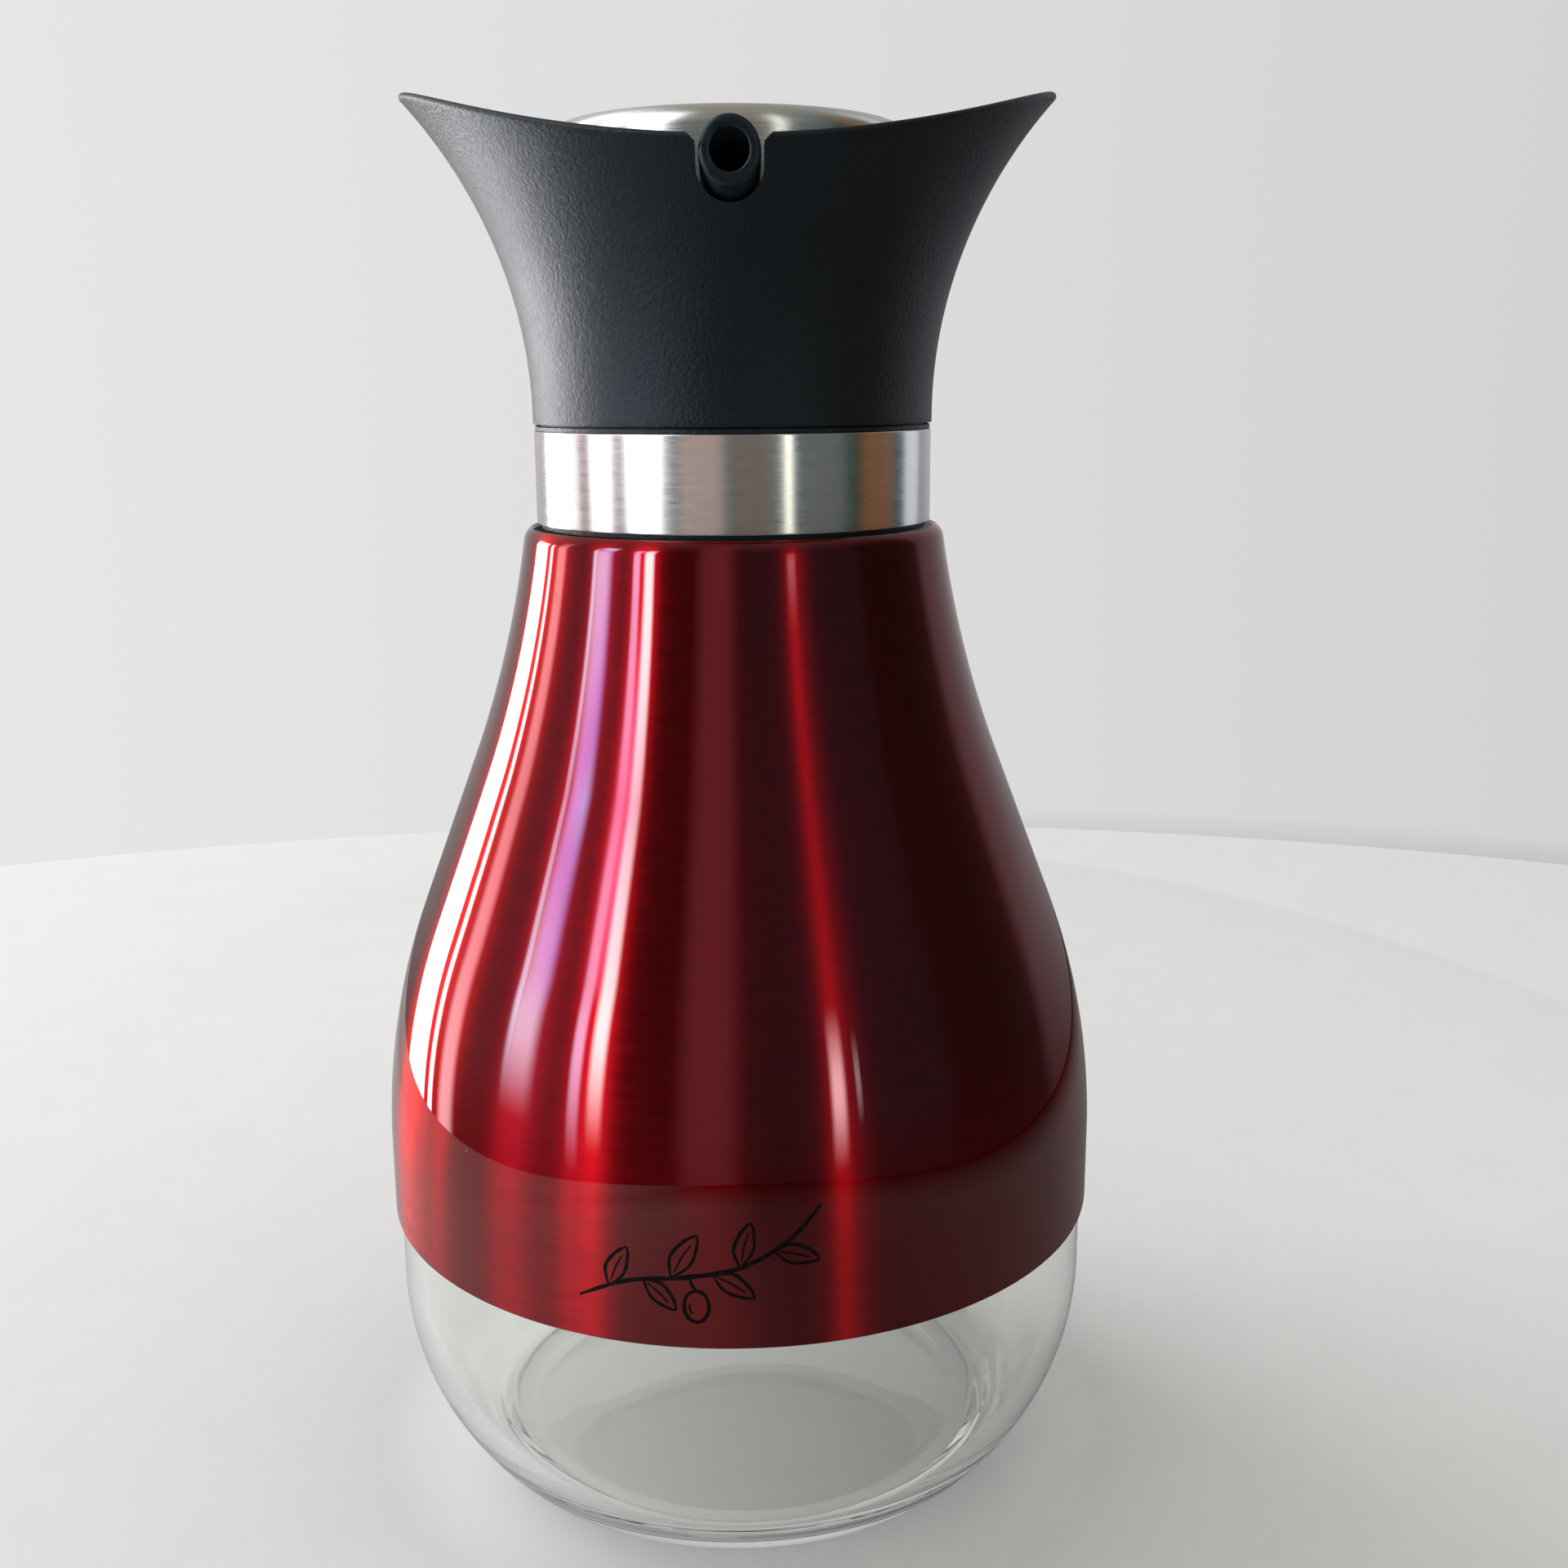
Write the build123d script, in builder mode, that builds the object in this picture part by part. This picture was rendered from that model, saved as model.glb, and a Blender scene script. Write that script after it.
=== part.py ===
from build123d import *
import math
import os

os.makedirs("parts", exist_ok=True)

# A cooking-oil dispenser: a glass bottle in a steel sleeve, a flared head that screws on,
# and a pourer that lifts out of the head. Millimetres. Z = 0 is the table, every round
# piece turns about the Z axis, and the spout points towards -Y.

# ------------------------------------------------------------------ driving dimensions

# Outside of the sleeve: upright, then a convex arc, a straight flank and a concave arc.
BODY_R = 51.0
BELLY_Z = 48.3
BELLY_ARC = 94.3
FLANK_LEAN = 20.8
FLANK_LENGTH = 22.8
NECK_ARC = 144.8

SLEEVE_WALL = 0.5
SLEEVE_FOOT_Z = 38.4
SHOULDER_Z = 133.2
SLEEVE_MOUTH_R = 27.9
SLEEVE_TOP_Z = 134.8
TAPE_FOOT_Z = 39.2
TAPE_WIDTH = 6.0

# Glass
GLASS_INSET = 0.8
GLASS_WALL = 3.0
FOOT_INNER_R = 32.5
PUNT_RISE = 3.4
HEEL_ARC = 37.0
HEEL_Z = 28.0
HEEL_ROUND = 1.8
FOOT_INNER_ROUND = 1.0
FLOOR_CENTRE_Z = 6.6
FLOOR_EDGE_Z = 4.6
FLOOR_CORNER_R = 10.0
SHOULDER_FOOT_Z = 129.5
BORE_FOOT_Z = 131.0
CAVITY_TOP_Z = 124.0
SHOULDER_ROUND = 3.0
THROAT_ROUND = 4.0
CAVITY_TOP_ROUND = 5.0
NECK_R = 22.9
NECK_BORE_R = 19.5
NECK_FOOT_Z = 133.6
NECK_FOOT_ROUND = 1.0
RIM_Z = 145.4
LIP_ROUND = 0.9

# Screw thread between neck and collar
THREAD_PITCH = 4.2333
THREAD_FOOT_Z = 136.6
NECK_THREAD_TURNS = 1.75
COLLAR_THREAD_TURNS = 1.25
THREAD_DEPTH = 1.1
COLLAR_THREAD_DEPTH = 1.35
THREAD_ROOT_HALF = 1.0
THREAD_CREST_HALF = 0.5
THREAD_BITE = 0.3

# Collar, ring and gasket
COLLAR_R = 26.4
COLLAR_FOOT_Z = 134.6
COLLAR_INNER_R = 24.7
COLLAR_ROOF_Z = 147.0
COLLAR_TOP_Z = 148.3
COLLAR_FLANGE_R = 26.85
COLLAR_FLANGE_T = 0.6
COLLAR_BORE_R = 19.0
COLLAR_LEAD_IN = 0.5
RING_R = 27.0
RING_WALL = 0.55
RING_FOOT_Z = 135.4
RING_CHAMFER = 0.12
GASKET_OUTER_R = 24.2
GASKET_INNER_R = 19.8

# Flared head
HEAD_R = 27.1
HEAD_WALL = 2.0
FLARE_FOOT_Z = 149.5
FLARE_ARC = 59.3
FLARE_BLANK_TOP_Z = 192.0
RIM_ARC = 103.5
RIM_LOW_Z = 181.3
RIM_ROUND = 0.45
TROUGH_FLOOR_Z = 151.0
TROUGH_OUTER_ROUND = 2.0
TROUGH_INNER_ROUND = 1.0
SHADOW_GAP = 0.2
SHADOW_GAP_R = 26.15
SOCKET_R = 13.0
SOCKET_WALL = 1.6
SOCKET_TOP_Z = 156.0
SOCKET_LEAD_IN = 0.5
SOCKET_FOOT_Z = 140.5
SPIGOT_R = 18.95
SPIGOT_WALL = 1.5
SPIGOT_FOOT_Z = 146.2
DRAIN_CIRCLE_R = 16.0
DRAIN_HOLE_R = 1.0
DRAIN_COUNT = 3

# Spout notch and spout tube
NOTCH_WIDTH = 7.9
NOTCH_LOW_Z = 174.1
NOTCH_CORNER = 1.0
SPOUT_CLEARANCE = 0.35
TUBE_R = 3.6
TUBE_BORE_R = 2.25
TUBE_TILT = 23.0
MOUTH_Y = -35.0
MOUTH_Z = 179.7
MOUTH_CHAMFER = 0.35
TUBE_INNER_Y = -8.0
METER_R = 1.0
METER_LENGTH = 2.5

# Pourer
CAP_R = 24.0
CAP_WALL = 0.6
CAP_FOOT_Z = 158.3
CAP_EDGE_ROUND = 2.6
CAP_EDGE_Z = 186.5
CAP_TOP_Z = 187.1
PLUG_R = 11.6
PLUG_BORE_R = 9.0
PLUG_FOOT_Z = 142.0
PLATE_Z = 157.0
PLATE_T = 2.2
SEAT_HEIGHT = 3.7
SEAT_WALL = 1.6
AIR_NOTCH_WIDTH = 3.0
AIR_NOTCH_DEPTH = 2.0
SEAL_R = 12.3
SEAL_FOOT_Z = 143.5
SEAL_RIB_PITCH = 3.2
SEAL_RIB_HALF = 0.9
SEAL_RIBS = 3
CHAMBER_R = 12.5
CHAMBER_TOP_Z = 176.0
CHAMBER_ROOF_T = 1.6
CHAMBER_ROUND = 1.2
BOSS_REACH = 20.0
BOSS_WALL = 1.6
VENT_Y = 5.5
VENT_R = 2.0
VENT_BORE_R = 0.9
VENT_FOOT_Z = 127.0
VENT_TOP_Z = 179.0

SLIP = 0.05
OVERRUN = 5.0
CUT_LEAD = 1.0

# ------------------------------------------------------------------ shared outlines

lean = math.radians(FLANK_LEAN)
outward = Vector(math.cos(lean), math.sin(lean))
upward = Vector(-math.sin(lean), math.cos(lean))
belly_centre = Vector(BODY_R - BELLY_ARC, BELLY_Z)
flank_start = belly_centre + outward * BELLY_ARC
flank_end = flank_start + upward * FLANK_LENGTH
neck_centre = flank_end + outward * NECK_ARC


def body_side(inset, foot_z, top_z):
    """Draws the body's side, inset from the sleeve's outside, and returns its last arc."""
    Line((BODY_R - inset, foot_z), (BODY_R - inset, BELLY_Z))
    CenterArc(belly_centre, BELLY_ARC - inset, 0, FLANK_LEAN)
    Line(flank_start - outward * inset, flank_end - outward * inset)
    top_lean = math.degrees(math.asin((neck_centre.Y - top_z) / (NECK_ARC + inset)))
    return CenterArc(neck_centre, NECK_ARC + inset, 180 + FLANK_LEAN, top_lean - FLANK_LEAN)


def corner(r, z):
    """The current sketch's vertex nearest to radius r and height z."""
    return vertices().sort_by_distance((r, z, 0))[0]


def thread_ridge(root_r, foot_z, turns, depth):
    """Sweeps a trapezoid ridge up a helix; a negative depth points it inwards."""
    bite = -math.copysign(THREAD_BITE, depth)
    with BuildLine() as path:
        Helix(THREAD_PITCH, THREAD_PITCH * turns, root_r, center=(0, 0, foot_z))
    start = Plane(origin=path.line @ 0, x_dir=(1, 0, 0), z_dir=path.line % 0)
    with BuildSketch(start) as section:
        with BuildLine():
            Polyline(
                (bite, -THREAD_ROOT_HALF),
                (bite, THREAD_ROOT_HALF),
                (depth, THREAD_CREST_HALF),
                (depth, -THREAD_CREST_HALF),
                close=True,
            )
        make_face()
    sweep(sections=section.sketch, path=path.line, is_frenet=True)


# The spout's axis: Z of this plane runs from the mouth back into the pourer.
tilt = math.radians(TUBE_TILT)
spout_plane = Plane(
    origin=(0, MOUTH_Y, MOUTH_Z),
    x_dir=(1, 0, 0),
    z_dir=(0, math.cos(tilt), -math.sin(tilt)),
)


def along_spout(y):
    """Distance from the mouth, along the spout's axis, at which it reaches y."""
    return (y - MOUTH_Y) / math.cos(tilt)


# ------------------------------------------------------------------ bottle

# Clear glass: flat foot ring around a shallow push-up, thick heel, threaded neck.
with BuildPart() as glass_bottle:
    heel_centre = Vector(BODY_R - GLASS_INSET - HEEL_ARC, HEEL_Z)
    heel_drop = math.degrees(math.asin(HEEL_Z / HEEL_ARC))
    inner_arc = HEEL_ARC - GLASS_WALL
    # Inside, the heel's arc runs into a tighter corner that meets the floor.
    corner_z = FLOOR_EDGE_Z + FLOOR_CORNER_R
    corner_turn = math.asin((HEEL_Z - corner_z) / (inner_arc - FLOOR_CORNER_R))
    corner_r = heel_centre.X + (inner_arc - FLOOR_CORNER_R) * math.cos(corner_turn)
    corner_turn = math.degrees(corner_turn)
    with BuildSketch(Plane.XZ):
        with BuildLine():
            punt = TangentArc((0, PUNT_RISE), (FOOT_INNER_R, 0), tangent=(1, 0))
            heel = CenterArc(heel_centre, HEEL_ARC, -heel_drop, heel_drop)
            Line(punt @ 1, heel @ 0)
            outer = body_side(GLASS_INSET, HEEL_Z, SHOULDER_FOOT_Z)
            neck = Polyline(
                outer @ 1,
                (NECK_R, NECK_FOOT_Z),
                (NECK_R, RIM_Z),
                (NECK_BORE_R, RIM_Z),
                (NECK_BORE_R, BORE_FOOT_Z),
            )
            inner = body_side(GLASS_INSET + GLASS_WALL, HEEL_Z, CAVITY_TOP_Z)
            Line(neck @ 1, inner @ 1)
            CenterArc(heel_centre, inner_arc, 0, -corner_turn)
            CenterArc((corner_r, corner_z), FLOOR_CORNER_R, -90, 90 - corner_turn)
            TangentArc((0, FLOOR_CENTRE_Z), (corner_r, FLOOR_EDGE_Z), tangent=(1, 0))
            Line((0, PUNT_RISE), (0, FLOOR_CENTRE_Z))
        make_face()
        fillet(corner((heel @ 0).X, 0), HEEL_ROUND)
        fillet(corner(FOOT_INNER_R, 0), FOOT_INNER_ROUND)
        fillet(corner((outer @ 1).X, SHOULDER_FOOT_Z), SHOULDER_ROUND)
        fillet(corner(NECK_R, NECK_FOOT_Z), NECK_FOOT_ROUND)
        fillet(corner(NECK_R, RIM_Z), LIP_ROUND)
        fillet(corner(NECK_BORE_R, RIM_Z), LIP_ROUND)
        fillet(corner(NECK_BORE_R, BORE_FOOT_Z), THROAT_ROUND)
        fillet(corner((inner @ 1).X, CAVITY_TOP_Z), CAVITY_TOP_ROUND)
    revolve(axis=Axis.Z)
    thread_ridge(NECK_R, THREAD_FOOT_Z, NECK_THREAD_TURNS, THREAD_DEPTH)

glass_bottle.part.label = "glass_bottle"
export_step(glass_bottle.part, "parts/glass_bottle.step")

# Red-lacquered sleeve: open below, rolled in at the shoulder.
with BuildPart() as steel_sleeve:
    with BuildSketch(Plane.XZ):
        with BuildLine():
            side = body_side(0, SLEEVE_FOOT_Z, SHOULDER_Z)
            TangentArc(side @ 1, (SLEEVE_MOUTH_R, SLEEVE_TOP_Z), tangent=side % 1)
            offset(amount=SLEEVE_WALL, side=Side.LEFT)
        make_face()
    revolve(axis=Axis.Z)

steel_sleeve.part.label = "steel_sleeve"
export_step(steel_sleeve.part, "parts/steel_sleeve.step")

# Black tape band that holds the sleeve to the glass, behind its lower edge.
with BuildPart() as sleeve_tape:
    with BuildSketch(Plane.XY.offset(TAPE_FOOT_Z)):
        Circle(BODY_R - SLEEVE_WALL - SLIP)
        Circle(BODY_R - GLASS_INSET + SLIP, mode=Mode.SUBTRACT)
    extrude(amount=TAPE_WIDTH)

sleeve_tape.part.label = "sleeve_tape"
export_step(sleeve_tape.part, "parts/sleeve_tape.step")

# ------------------------------------------------------------------ collar

# Silicone washer between the glass rim and the collar's roof.
with BuildPart() as neck_gasket:
    with BuildSketch(Plane.XY.offset(RIM_Z + SLIP)):
        Circle(GASKET_OUTER_R)
        Circle(GASKET_INNER_R, mode=Mode.SUBTRACT)
    extrude(amount=COLLAR_ROOF_Z - RIM_Z - 2 * SLIP)

neck_gasket.part.label = "neck_gasket"
export_step(neck_gasket.part, "parts/neck_gasket.step")

# Black collar with an internal thread and a flange that covers the ring's top edge.
with BuildPart() as screw_collar:
    with BuildSketch(Plane.XZ):
        with BuildLine():
            Polyline(
                (COLLAR_INNER_R, COLLAR_FOOT_Z),
                (COLLAR_R, COLLAR_FOOT_Z),
                (COLLAR_R, COLLAR_TOP_Z - COLLAR_FLANGE_T),
                (COLLAR_FLANGE_R, COLLAR_TOP_Z - COLLAR_FLANGE_T),
                (COLLAR_FLANGE_R, COLLAR_TOP_Z),
                (COLLAR_BORE_R, COLLAR_TOP_Z),
                (COLLAR_BORE_R, COLLAR_ROOF_Z),
                (COLLAR_INNER_R, COLLAR_ROOF_Z),
                close=True,
            )
        make_face()
        chamfer(corner(COLLAR_INNER_R, COLLAR_FOOT_Z), COLLAR_LEAD_IN)
    revolve(axis=Axis.Z)
    mesh_z = THREAD_FOOT_Z + THREAD_PITCH / 2
    thread_ridge(COLLAR_INNER_R, mesh_z, COLLAR_THREAD_TURNS, -COLLAR_THREAD_DEPTH)

screw_collar.part.label = "screw_collar"
export_step(screw_collar.part, "parts/screw_collar.step")

# Brushed ring around the collar.
with BuildPart() as neck_ring:
    with BuildSketch(Plane.XZ):
        with Locations((RING_R - RING_WALL, RING_FOOT_Z)):
            Rectangle(
                RING_WALL,
                COLLAR_TOP_Z - COLLAR_FLANGE_T - SLIP - RING_FOOT_Z,
                align=(Align.MIN, Align.MIN),
            )
        outer_edge = vertices().group_by(Axis.X)[-1]
        chamfer(outer_edge, RING_CHAMFER)
    revolve(axis=Axis.Z)

neck_ring.part.label = "neck_ring"
export_step(neck_ring.part, "parts/neck_ring.step")

# ------------------------------------------------------------------ flared head

flare_centre = Vector(HEAD_R + FLARE_ARC, FLARE_FOOT_Z)


def flare_arc(offset_in, foot_z):
    """The flare's curve, moved in by offset_in, from foot_z up to the blank's top."""
    radius = FLARE_ARC + offset_in
    foot = math.degrees(math.asin((foot_z - FLARE_FOOT_Z) / radius))
    top = math.degrees(math.asin((FLARE_BLANK_TOP_Z - FLARE_FOOT_Z) / radius))
    return CenterArc(flare_centre, radius, 180 - foot, foot - top)


# Trumpet with a drip floor, a central socket for the plug and a spigot in the collar's bore.
with BuildPart() as flared_head:
    socket_outer_r = SOCKET_R + SOCKET_WALL
    with BuildSketch(Plane.XZ):
        with BuildLine():
            outside = flare_arc(0, FLARE_FOOT_Z)
            inside = flare_arc(HEAD_WALL, TROUGH_FLOOR_Z)
            Line(outside @ 1, inside @ 1)
            Polyline(
                inside @ 0,
                (socket_outer_r, TROUGH_FLOOR_Z),
                (socket_outer_r, SOCKET_TOP_Z),
                (SOCKET_R, SOCKET_TOP_Z),
                (SOCKET_R, SOCKET_FOOT_Z),
                (socket_outer_r, SOCKET_FOOT_Z),
                (socket_outer_r, COLLAR_TOP_Z),
                (SPIGOT_R - SPIGOT_WALL, COLLAR_TOP_Z),
                (SPIGOT_R - SPIGOT_WALL, SPIGOT_FOOT_Z),
                (SPIGOT_R, SPIGOT_FOOT_Z),
                (SPIGOT_R, COLLAR_TOP_Z),
                (SHADOW_GAP_R, COLLAR_TOP_Z),
                (SHADOW_GAP_R, COLLAR_TOP_Z + SHADOW_GAP),
                (HEAD_R, COLLAR_TOP_Z + SHADOW_GAP),
                outside @ 0,
            )
        make_face()
        fillet(corner((inside @ 0).X, TROUGH_FLOOR_Z), TROUGH_OUTER_ROUND)
        fillet(corner(socket_outer_r, TROUGH_FLOOR_Z), TROUGH_INNER_ROUND)
        chamfer(corner(SOCKET_R, SOCKET_TOP_Z), SOCKET_LEAD_IN)
    revolve(axis=Axis.Z)

    # The rim is dished from side to side, which leaves a raised wing on either side.
    with BuildSketch(Plane.XZ):
        with Locations((0, RIM_LOW_Z + RIM_ARC)):
            Circle(RIM_ARC)
    extrude(amount=BODY_R, both=True, mode=Mode.SUBTRACT)
    just_under_rim = RIM_LOW_Z - RIM_ROUND
    rim_edges = edges().filter_by(lambda edge: edge.bounding_box().min.Z > just_under_rim)
    fillet(rim_edges, RIM_ROUND)

    # Upward-open notch for the spout, in the front wall.
    notch_r = NOTCH_WIDTH / 2
    corner_z = RIM_LOW_Z - NOTCH_CORNER
    with BuildSketch(Plane.XZ.offset(CAP_R)):
        with BuildLine():
            RadiusArc((-notch_r, NOTCH_LOW_Z + notch_r), (notch_r, NOTCH_LOW_Z + notch_r), -notch_r)
            Polyline(
                (notch_r, NOTCH_LOW_Z + notch_r),
                (notch_r, corner_z),
                (notch_r + NOTCH_CORNER, RIM_LOW_Z),
                (notch_r + NOTCH_CORNER, FLARE_BLANK_TOP_Z),
                (-notch_r - NOTCH_CORNER, FLARE_BLANK_TOP_Z),
                (-notch_r - NOTCH_CORNER, RIM_LOW_Z),
                (-notch_r, corner_z),
                (-notch_r, NOTCH_LOW_Z + notch_r),
            )
        make_face()
    extrude(amount=BODY_R, mode=Mode.SUBTRACT)
    with BuildSketch(spout_plane.offset(-OVERRUN)):
        Circle(TUBE_R + SPOUT_CLEARANCE)
    extrude(amount=3 * OVERRUN, mode=Mode.SUBTRACT)

    # Drain holes that return drips to the bottle.
    with BuildSketch(Plane.XY.offset(TROUGH_FLOOR_Z + OVERRUN)):
        with PolarLocations(DRAIN_CIRCLE_R, DRAIN_COUNT, start_angle=90):
            Circle(DRAIN_HOLE_R)
    extrude(amount=-2 * OVERRUN, mode=Mode.SUBTRACT)

flared_head.part.label = "flared_head"
export_step(flared_head.part, "parts/flared_head.step")

# ------------------------------------------------------------------ pourer

# Stopper body: plug, base plate with a seat for the cap, chamber and spout socket.
with BuildPart() as pourer_body:
    seat_r = CAP_R - CAP_WALL - SLIP
    seat_top_z = CAP_FOOT_Z + SEAT_HEIGHT
    with BuildSketch(Plane.XZ):
        with BuildLine():
            Polyline(
                (0, PLUG_FOOT_Z),
                (PLUG_R, PLUG_FOOT_Z),
                (PLUG_R, PLATE_Z),
                (CAP_R, PLATE_Z),
                (CAP_R, CAP_FOOT_Z - SLIP),
                (seat_r, CAP_FOOT_Z - SLIP),
                (seat_r, seat_top_z),
                (seat_r - SEAT_WALL, seat_top_z),
                (seat_r - SEAT_WALL, PLATE_Z + PLATE_T),
                (CHAMBER_R, PLATE_Z + PLATE_T),
                (CHAMBER_R, CHAMBER_TOP_Z),
                (0, CHAMBER_TOP_Z),
                close=True,
            )
        make_face()
        fillet(corner(CHAMBER_R, CHAMBER_TOP_Z), CHAMBER_ROUND)
    revolve(axis=Axis.Z)
    with BuildSketch(spout_plane.offset(along_spout(-BOSS_REACH))):
        Circle(TUBE_R + BOSS_WALL)
    extrude(amount=BOSS_REACH - CHAMBER_R / 2)
    # Plug bore and chamber, one hollow.
    with BuildSketch(Plane.XY.offset(PLUG_FOOT_Z)):
        Circle(PLUG_BORE_R)
    extrude(amount=CHAMBER_TOP_Z - CHAMBER_ROOF_T - PLUG_FOOT_Z, mode=Mode.SUBTRACT)
    with BuildSketch(spout_plane.offset(along_spout(-BOSS_REACH) - CUT_LEAD)):
        Circle(TUBE_R + SLIP)
    extrude(amount=BOSS_REACH, mode=Mode.SUBTRACT)
    with BuildSketch(Plane.XY.offset(CHAMBER_TOP_Z + CUT_LEAD)):
        with Locations((0, VENT_Y)):
            Circle(VENT_R + SLIP)
    extrude(amount=-CHAMBER_ROOF_T - 2 * CUT_LEAD, mode=Mode.SUBTRACT)
    # Air notch through the cap's seat, at the back.
    with BuildSketch(Plane.XZ.offset(-CAP_R - CUT_LEAD)):
        with Locations((0, seat_top_z + CUT_LEAD)):
            Rectangle(AIR_NOTCH_WIDTH, AIR_NOTCH_DEPTH + CUT_LEAD, align=(Align.CENTER, Align.MAX))
    extrude(amount=OVERRUN, mode=Mode.SUBTRACT)

pourer_body.part.label = "pourer_body"
export_step(pourer_body.part, "parts/pourer_body.step")

# Ribbed silicone sleeve on the plug, with a flange that rests on the socket.
with BuildPart() as stopper_seal:
    with BuildSketch(Plane.XZ):
        with BuildLine():
            Polyline(
                (PLUG_R + SLIP, SEAL_FOOT_Z),
                (SEAL_R, SEAL_FOOT_Z),
                (SEAL_R, SOCKET_TOP_Z + SLIP),
                (socket_outer_r, SOCKET_TOP_Z + SLIP),
                (socket_outer_r, PLATE_Z - SLIP),
                (PLUG_R + SLIP, PLATE_Z - SLIP),
                close=True,
            )
        make_face()
        rib_heights = [SEAL_FOOT_Z + rib * SEAL_RIB_PITCH for rib in range(1, SEAL_RIBS + 1)]
        with Locations(*[(SEAL_R, z) for z in rib_heights]):
            Ellipse(SOCKET_R - SLIP - SEAL_R, SEAL_RIB_HALF)
    revolve(axis=Axis.Z)

stopper_seal.part.label = "stopper_seal"
export_step(stopper_seal.part, "parts/stopper_seal.step")

# Round spout tube, cut upright at the mouth, with a small metering hole at its inner end.
with BuildPart() as spout_tube:
    with BuildSketch(spout_plane.offset(-OVERRUN)):
        Circle(TUBE_R)
        Circle(TUBE_BORE_R, mode=Mode.SUBTRACT)
    extrude(amount=OVERRUN + along_spout(TUBE_INNER_Y))
    with BuildSketch(spout_plane.offset(along_spout(TUBE_INNER_Y) - METER_LENGTH)):
        Circle((TUBE_R + TUBE_BORE_R) / 2)
        Circle(METER_R, mode=Mode.SUBTRACT)
    extrude(amount=METER_LENGTH)
    split(bisect_by=Plane.XZ.offset(-MOUTH_Y), keep=Keep.BOTTOM)
    mouth_edges = edges().group_by(Axis.Y)[0].sort_by(SortBy.LENGTH)
    chamfer(mouth_edges[-1], MOUTH_CHAMFER)

spout_tube.part.label = "spout_tube"
export_step(spout_tube.part, "parts/spout_tube.step")

# Thin tube that lets air back into the bottle.
with BuildPart() as vent_tube:
    with BuildSketch(Plane.XY.offset(VENT_FOOT_Z)):
        with Locations((0, VENT_Y)):
            Circle(VENT_R)
            Circle(VENT_BORE_R, mode=Mode.SUBTRACT)
    extrude(amount=VENT_TOP_Z - VENT_FOOT_Z)

vent_tube.part.label = "vent_tube"
export_step(vent_tube.part, "parts/vent_tube.step")

# Convex brushed cap with a hole for the spout in its front wall.
with BuildPart() as steel_cap:
    with BuildSketch(Plane.XZ):
        with BuildLine():
            knuckle = TangentArc(
                (CAP_R, CAP_EDGE_Z - CAP_EDGE_ROUND),
                (CAP_R - CAP_EDGE_ROUND, CAP_EDGE_Z),
                tangent=(0, 1),
            )
            TangentArc((0, CAP_TOP_Z), knuckle @ 1, tangent=(1, 0))
            Polyline((0, CAP_TOP_Z), (0, CAP_FOOT_Z), (CAP_R, CAP_FOOT_Z), knuckle @ 0)
        make_face()
    revolve(axis=Axis.Z)
    offset(amount=-CAP_WALL, openings=faces().sort_by(Axis.Z)[0])
    with BuildSketch(spout_plane.offset(along_spout(-CAP_R) - OVERRUN)):
        Circle(TUBE_R + 2 * SLIP)
    extrude(amount=2 * OVERRUN, mode=Mode.SUBTRACT)

steel_cap.part.label = "steel_cap"
export_step(steel_cap.part, "parts/steel_cap.step")
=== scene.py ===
import math

import bmesh
import bpy
from mathutils import Matrix, Vector


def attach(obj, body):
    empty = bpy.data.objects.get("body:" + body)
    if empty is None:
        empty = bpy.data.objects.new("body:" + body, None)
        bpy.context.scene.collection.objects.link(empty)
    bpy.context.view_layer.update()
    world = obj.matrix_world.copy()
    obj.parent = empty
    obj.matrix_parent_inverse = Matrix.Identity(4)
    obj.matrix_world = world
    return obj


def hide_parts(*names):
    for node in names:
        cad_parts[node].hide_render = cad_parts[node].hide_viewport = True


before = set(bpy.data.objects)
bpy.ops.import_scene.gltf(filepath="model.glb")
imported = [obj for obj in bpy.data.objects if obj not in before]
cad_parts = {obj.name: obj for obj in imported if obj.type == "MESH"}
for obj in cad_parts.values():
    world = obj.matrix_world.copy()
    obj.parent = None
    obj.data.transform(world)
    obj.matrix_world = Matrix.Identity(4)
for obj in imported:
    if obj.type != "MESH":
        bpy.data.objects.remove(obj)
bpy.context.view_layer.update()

# A cooking-oil dispenser: glass bottle, red-lacquered steel sleeve, flared black head and a
# steel-capped pourer. Outlines are in millimetres, as (radius, height) about the Z axis, and
# are scaled to metres as each mesh is made. The spout points towards -Y.

MM = 0.001
SEGMENTS = 256

# ------------------------------------------------------------------ dimensions (mm)

BODY_R = 51.0
BELLY_Z = 48.3
BELLY_ARC = 94.3
FLANK_LEAN = math.radians(20.8)
FLANK_LENGTH = 22.8
NECK_ARC = 144.8

SLEEVE_WALL = 0.5
SLEEVE_FOOT_Z = 38.4
SHOULDER_Z = 133.2
SLEEVE_MOUTH_R = 27.9
SLEEVE_TOP_Z = 134.8

GLASS_R = 50.2
GLASS_WALL = 3.0
FOOT_INNER_R = 32.5
FOOT_OUTER_R = 37.0
PUNT_RISE = 3.4
HEEL_ARC = 37.0
HEEL_Z = 28.0
HEEL_FOOT = (39.4, 1.9)
FLOOR_CENTRE_Z = 6.6
FLOOR_EDGE_Z = 4.6
FLOOR_CORNER_R = 10.0
SHOULDER_FOOT_Z = 129.5
BORE_FOOT_Z = 131.0
CAVITY_TOP_Z = 124.0
NECK_R = 22.9
NECK_BORE_R = 19.5
NECK_FOOT_Z = 133.6
NECK_STRAIGHT_Z = 135.4
RIM_Z = 145.4

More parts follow.
